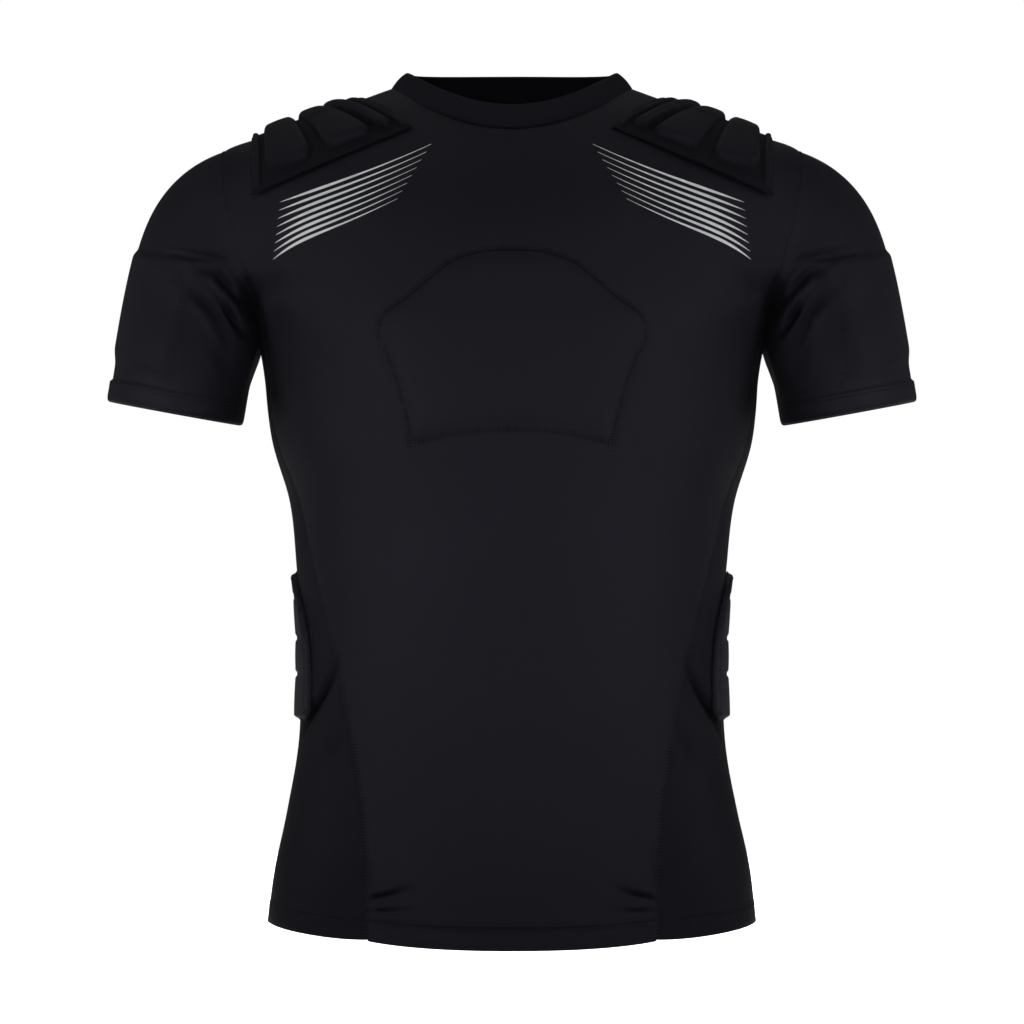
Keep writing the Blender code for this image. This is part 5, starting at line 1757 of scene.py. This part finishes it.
def sleeve_line_stitches(skin):
    """Stitches square across the front and back edges of the left sleeve's pad."""
    tree = skin_tree([(skin.points, True)])
    line = np.array(SLEEVE_PAD_LINE)
    lengths = arc_lengths(line, 0)
    points = along_path(line, lengths, np.arange(SLEEVE_STITCH_STEP / 2, lengths[-1], SLEEVE_STITCH_STEP))
    for sign in (-1, 1):
        hits = []
        for offset in (-SLEEVE_STITCH_HALF, SLEEVE_STITCH_HALF):
            rows = []
            for x, z in points:
                start = Vector((x + offset, sign * SLEEVE_CLEAR, z))
                hit, normal = cast(tree, start, Vector((0, -sign, 0)))
                if hit is None:
                    raise RuntimeError("the sleeve pad's edge misses the sleeve")
                rows.append((*hit, *normal))
            hits.append(np.array(rows))
        yield hits[0][:, :3], hits[1][:, :3], unit(hits[0][:, 3:] + hits[1][:, 3:])


def sleeve_pad_stitches(sizes):
    """Stitches along the edges of the sleeve pads, on the front and back of the sleeves, and the tacks."""
    skin = sleeve_skin(sizes.creases)
    parts = [stitches for line in sleeve_line_stitches(skin) for stitches in on_both_sides(line)]
    both = skin_tree([(on_side(skin.points, sign), True) for _, sign in SIDES])
    tack = np.array(SLEEVE_TACK)
    for _, sign in SIDES:
        starts, up = laid_from_view(both, sign * tack[:, 0], tack[:, 1])
        ends, _ = laid_from_view(both, sign * tack[:, 2], tack[:, 3])
        parts.append((starts, ends, up))
    return joined_stitches(parts)


def pad_edge_stitches(crown):
    """Stitches along the flanges of the shoulder and rib pads."""
    parts = []
    shoulder, rib = shoulder_pad_grids(crown)[0], rib_pad_grids(crown * RIB_CROWN_SHARE)[0]
    along = slice(PAD_STITCH_START, -PAD_STITCH_START)
    for outer, inset in ((shoulder, SHOULDER_PAD_LINE), (rib, RIB_PAD_LINE)):
        normals = unit(np.cross(np.gradient(outer, axis=1), np.gradient(outer, axis=0)))
        normals = normals * np.sign((normals * outer).sum(axis=-1).mean())
        for line in ((along, inset), (along, -1 - inset), (-1 - inset, along)):
            parts += on_both_sides(running_stitches(outer[line], normals[line], *PAD_RUN))
    return joined_stitches(parts)


class VEST_OT_sewing(bpy.types.Operator):
    """Makes the sewing: the chest pad's edge, hems, seams and the pads' edges"""

    bl_idname = "vest.sewing"
    bl_label = "Sewing"

    def execute(self, context):
        sizes = context.scene.vest_sizes
        tree = cloth_tree(sizes)
        rows = (
            ("chest_pad_sewing", chest_pad_stitches(tree), 1.4, "light_thread"),
            ("hem_sewing", hem_stitches(tree), 1.0, "thread"),
            ("cuff_sewing", cuff_stitches(sizes, tree), 1.0, "thread"),
            ("seam_sewing", seam_stitches(sizes, tree), 1.2, "light_thread"),
            ("sleeve_pad_sewing", sleeve_pad_stitches(sizes), 1.5, "light_thread"),
            ("pad_edge_sewing", pad_edge_stitches(sizes.pad_crown), 1.0, "thread"),
        )
        need_free("chest_pad_edge", *(row[0] for row in rows))
        for name, stitches, thick, thread in rows:
            belongs(thread_piece(name, *stitches, sizes.thread * thick, finish(thread)), None)
        edge = wall_piece("chest_pad_edge", *chest_pad_edge(tree), finish("seam"), ring=True)
        belongs(edge, None)
        return {"FINISHED"}


# Stage: the floor's size and glow, the world's light, the camera, and the area lights with their place, size,
# power in watts and beam in degrees
FLOOR_SIZE, FLOOR_GLOW, WORLD_LIGHT = 14, 0.95, 0.07
CAMERA_LENS, CAMERA_SENSOR = 138.2, 36.0
LIGHT_AIM = (0, 0, -0.34)
LIGHTS = (
    ("front_light", (0, -3.7, -0.42), (2.2, 0.4), 2.5, 18),
    ("side_light_left", (3.05, -0.35, 0.75), (1.0, 2.0), 22, 180),
    ("side_light_right", (-3.05, -0.35, 0.75), (1.0, 2.0), 22, 180),
    ("back_light", (0, 3.7, 0.1), (1.8, 1.2), 85, 180),
    ("top_light", (0, 0.15, 2.2), (2.0, 2.0), 12, 180),
)


class VEST_OT_stage(bpy.types.Operator):
    """Makes the pale floor, the soft lights and the camera"""

    bl_idname = "vest.stage"
    bl_label = "Stage"

    def execute(self, context):
        need_free("stage_floor")
        bpy.ops.object.select_all(action="DESELECT")
        self.lay_floor(context)
        self.light_world(context)
        for name, place, size, power, beam in LIGHTS:
            bpy.ops.object.light_add(type="AREA", location=place)
            light = context.object
            light.name = light.data.name = name
            light.data.shape = "RECTANGLE"
            light.data.size, light.data.size_y = size
            light.data.energy = power
            light.data.spread = math.radians(beam)
            light.visible_glossy = name != "back_light"
            light.rotation_euler = (Vector(LIGHT_AIM) - light.location).to_track_quat("-Z", "Y").to_euler()
        bpy.ops.object.camera_add(location=tuple(VIEW_POINT), rotation=(math.pi / 2, 0, 0))
        camera = context.scene.camera = context.object
        camera.name = camera.data.name = "photo_camera"
        camera.data.sensor_width = CAMERA_SENSOR
        camera.data.lens = CAMERA_LENS
        context.scene.view_settings.view_transform = "Standard"
        return {"FINISHED"}

    def lay_floor(self, context):
        """A pale floor that looks white in the picture."""
        level = CAD_BOX[0].z - context.scene.vest_sizes.floor_drop
        bpy.ops.mesh.primitive_plane_add(size=FLOOR_SIZE, location=(0, 0, level))
        floor = context.object
        floor.name = floor.data.name = "stage_floor"
        paint = finish("floor")
        tree, shader = paint.node_tree, paint.node_tree.nodes["Principled BSDF"]
        path = add_node(tree, "ShaderNodeLightPath")
        glow = calculate(tree, "MULTIPLY", path.outputs["Is Camera Ray"], FLOOR_GLOW)
        tree.links.new(glow, shader.inputs["Emission Color"])
        shader.inputs["Emission Strength"].default_value = 1.0
        floor.data.materials.append(paint)

    def light_world(self, context):
        """A white backdrop, and a softer white for the light that it gives."""
        world = context.scene.world = bpy.data.worlds.new("white_studio")
        world.use_nodes = True
        tree = world.node_tree
        given, seen = tree.nodes["Background"], add_node(tree, "ShaderNodeBackground")
        for background in (given, seen):
            background.inputs["Color"].default_value = (1, 1, 1, 1)
        given.inputs["Strength"].default_value = WORLD_LIGHT
        path, mix = add_node(tree, "ShaderNodeLightPath"), add_node(tree, "ShaderNodeMixShader")
        tree.links.new(path.outputs["Is Camera Ray"], mix.inputs["Fac"])
        tree.links.new(given.outputs[0], mix.inputs[1])
        tree.links.new(seen.outputs[0], mix.inputs[2])
        tree.links.new(mix.outputs[0], tree.nodes["World Output"].inputs["Surface"])


STEPS = (
    VEST_OT_body, VEST_OT_sleeves, VEST_OT_neckband, VEST_OT_outer_pads, VEST_OT_inner_pads,
    VEST_OT_stripes, VEST_OT_sewing, VEST_OT_stage,
)


class VEST_PT_panel(bpy.types.Panel):
    """Lists the vest's sizes, colours and pieces"""

    bl_idname = "VEST_PT_panel"
    bl_label = "Padded vest"
    bl_space_type = "VIEW_3D"
    bl_region_type = "UI"
    bl_category = "Vest"

    def draw(self, context):
        for group in (context.scene.vest_sizes, context.scene.vest_colours):
            box = self.layout.box()
            for name in group.__annotations__:
                box.prop(group, name)
        column = self.layout.column(align=True)
        for step in STEPS:
            column.operator(step.bl_idname)


CLASSES = (VestSizes, VestColours, *STEPS, VEST_PT_panel)


def register():
    for made in CLASSES:
        bpy.utils.register_class(made)
    bpy.types.Scene.vest_sizes = bpy.props.PointerProperty(type=VestSizes)
    bpy.types.Scene.vest_colours = bpy.props.PointerProperty(type=VestColours)


def unregister():
    del bpy.types.Scene.vest_colours
    del bpy.types.Scene.vest_sizes
    for made in reversed(CLASSES):
        bpy.utils.unregister_class(made)


def main():
    register()
    bpy.ops.vest.body()
    bpy.ops.vest.sleeves()
    bpy.ops.vest.neckband()
    bpy.ops.vest.outer_pads()
    bpy.ops.vest.inner_pads()
    bpy.ops.vest.stripes()
    bpy.ops.vest.sewing()
    bpy.ops.vest.stage()


if __name__ == "__main__":
    main()
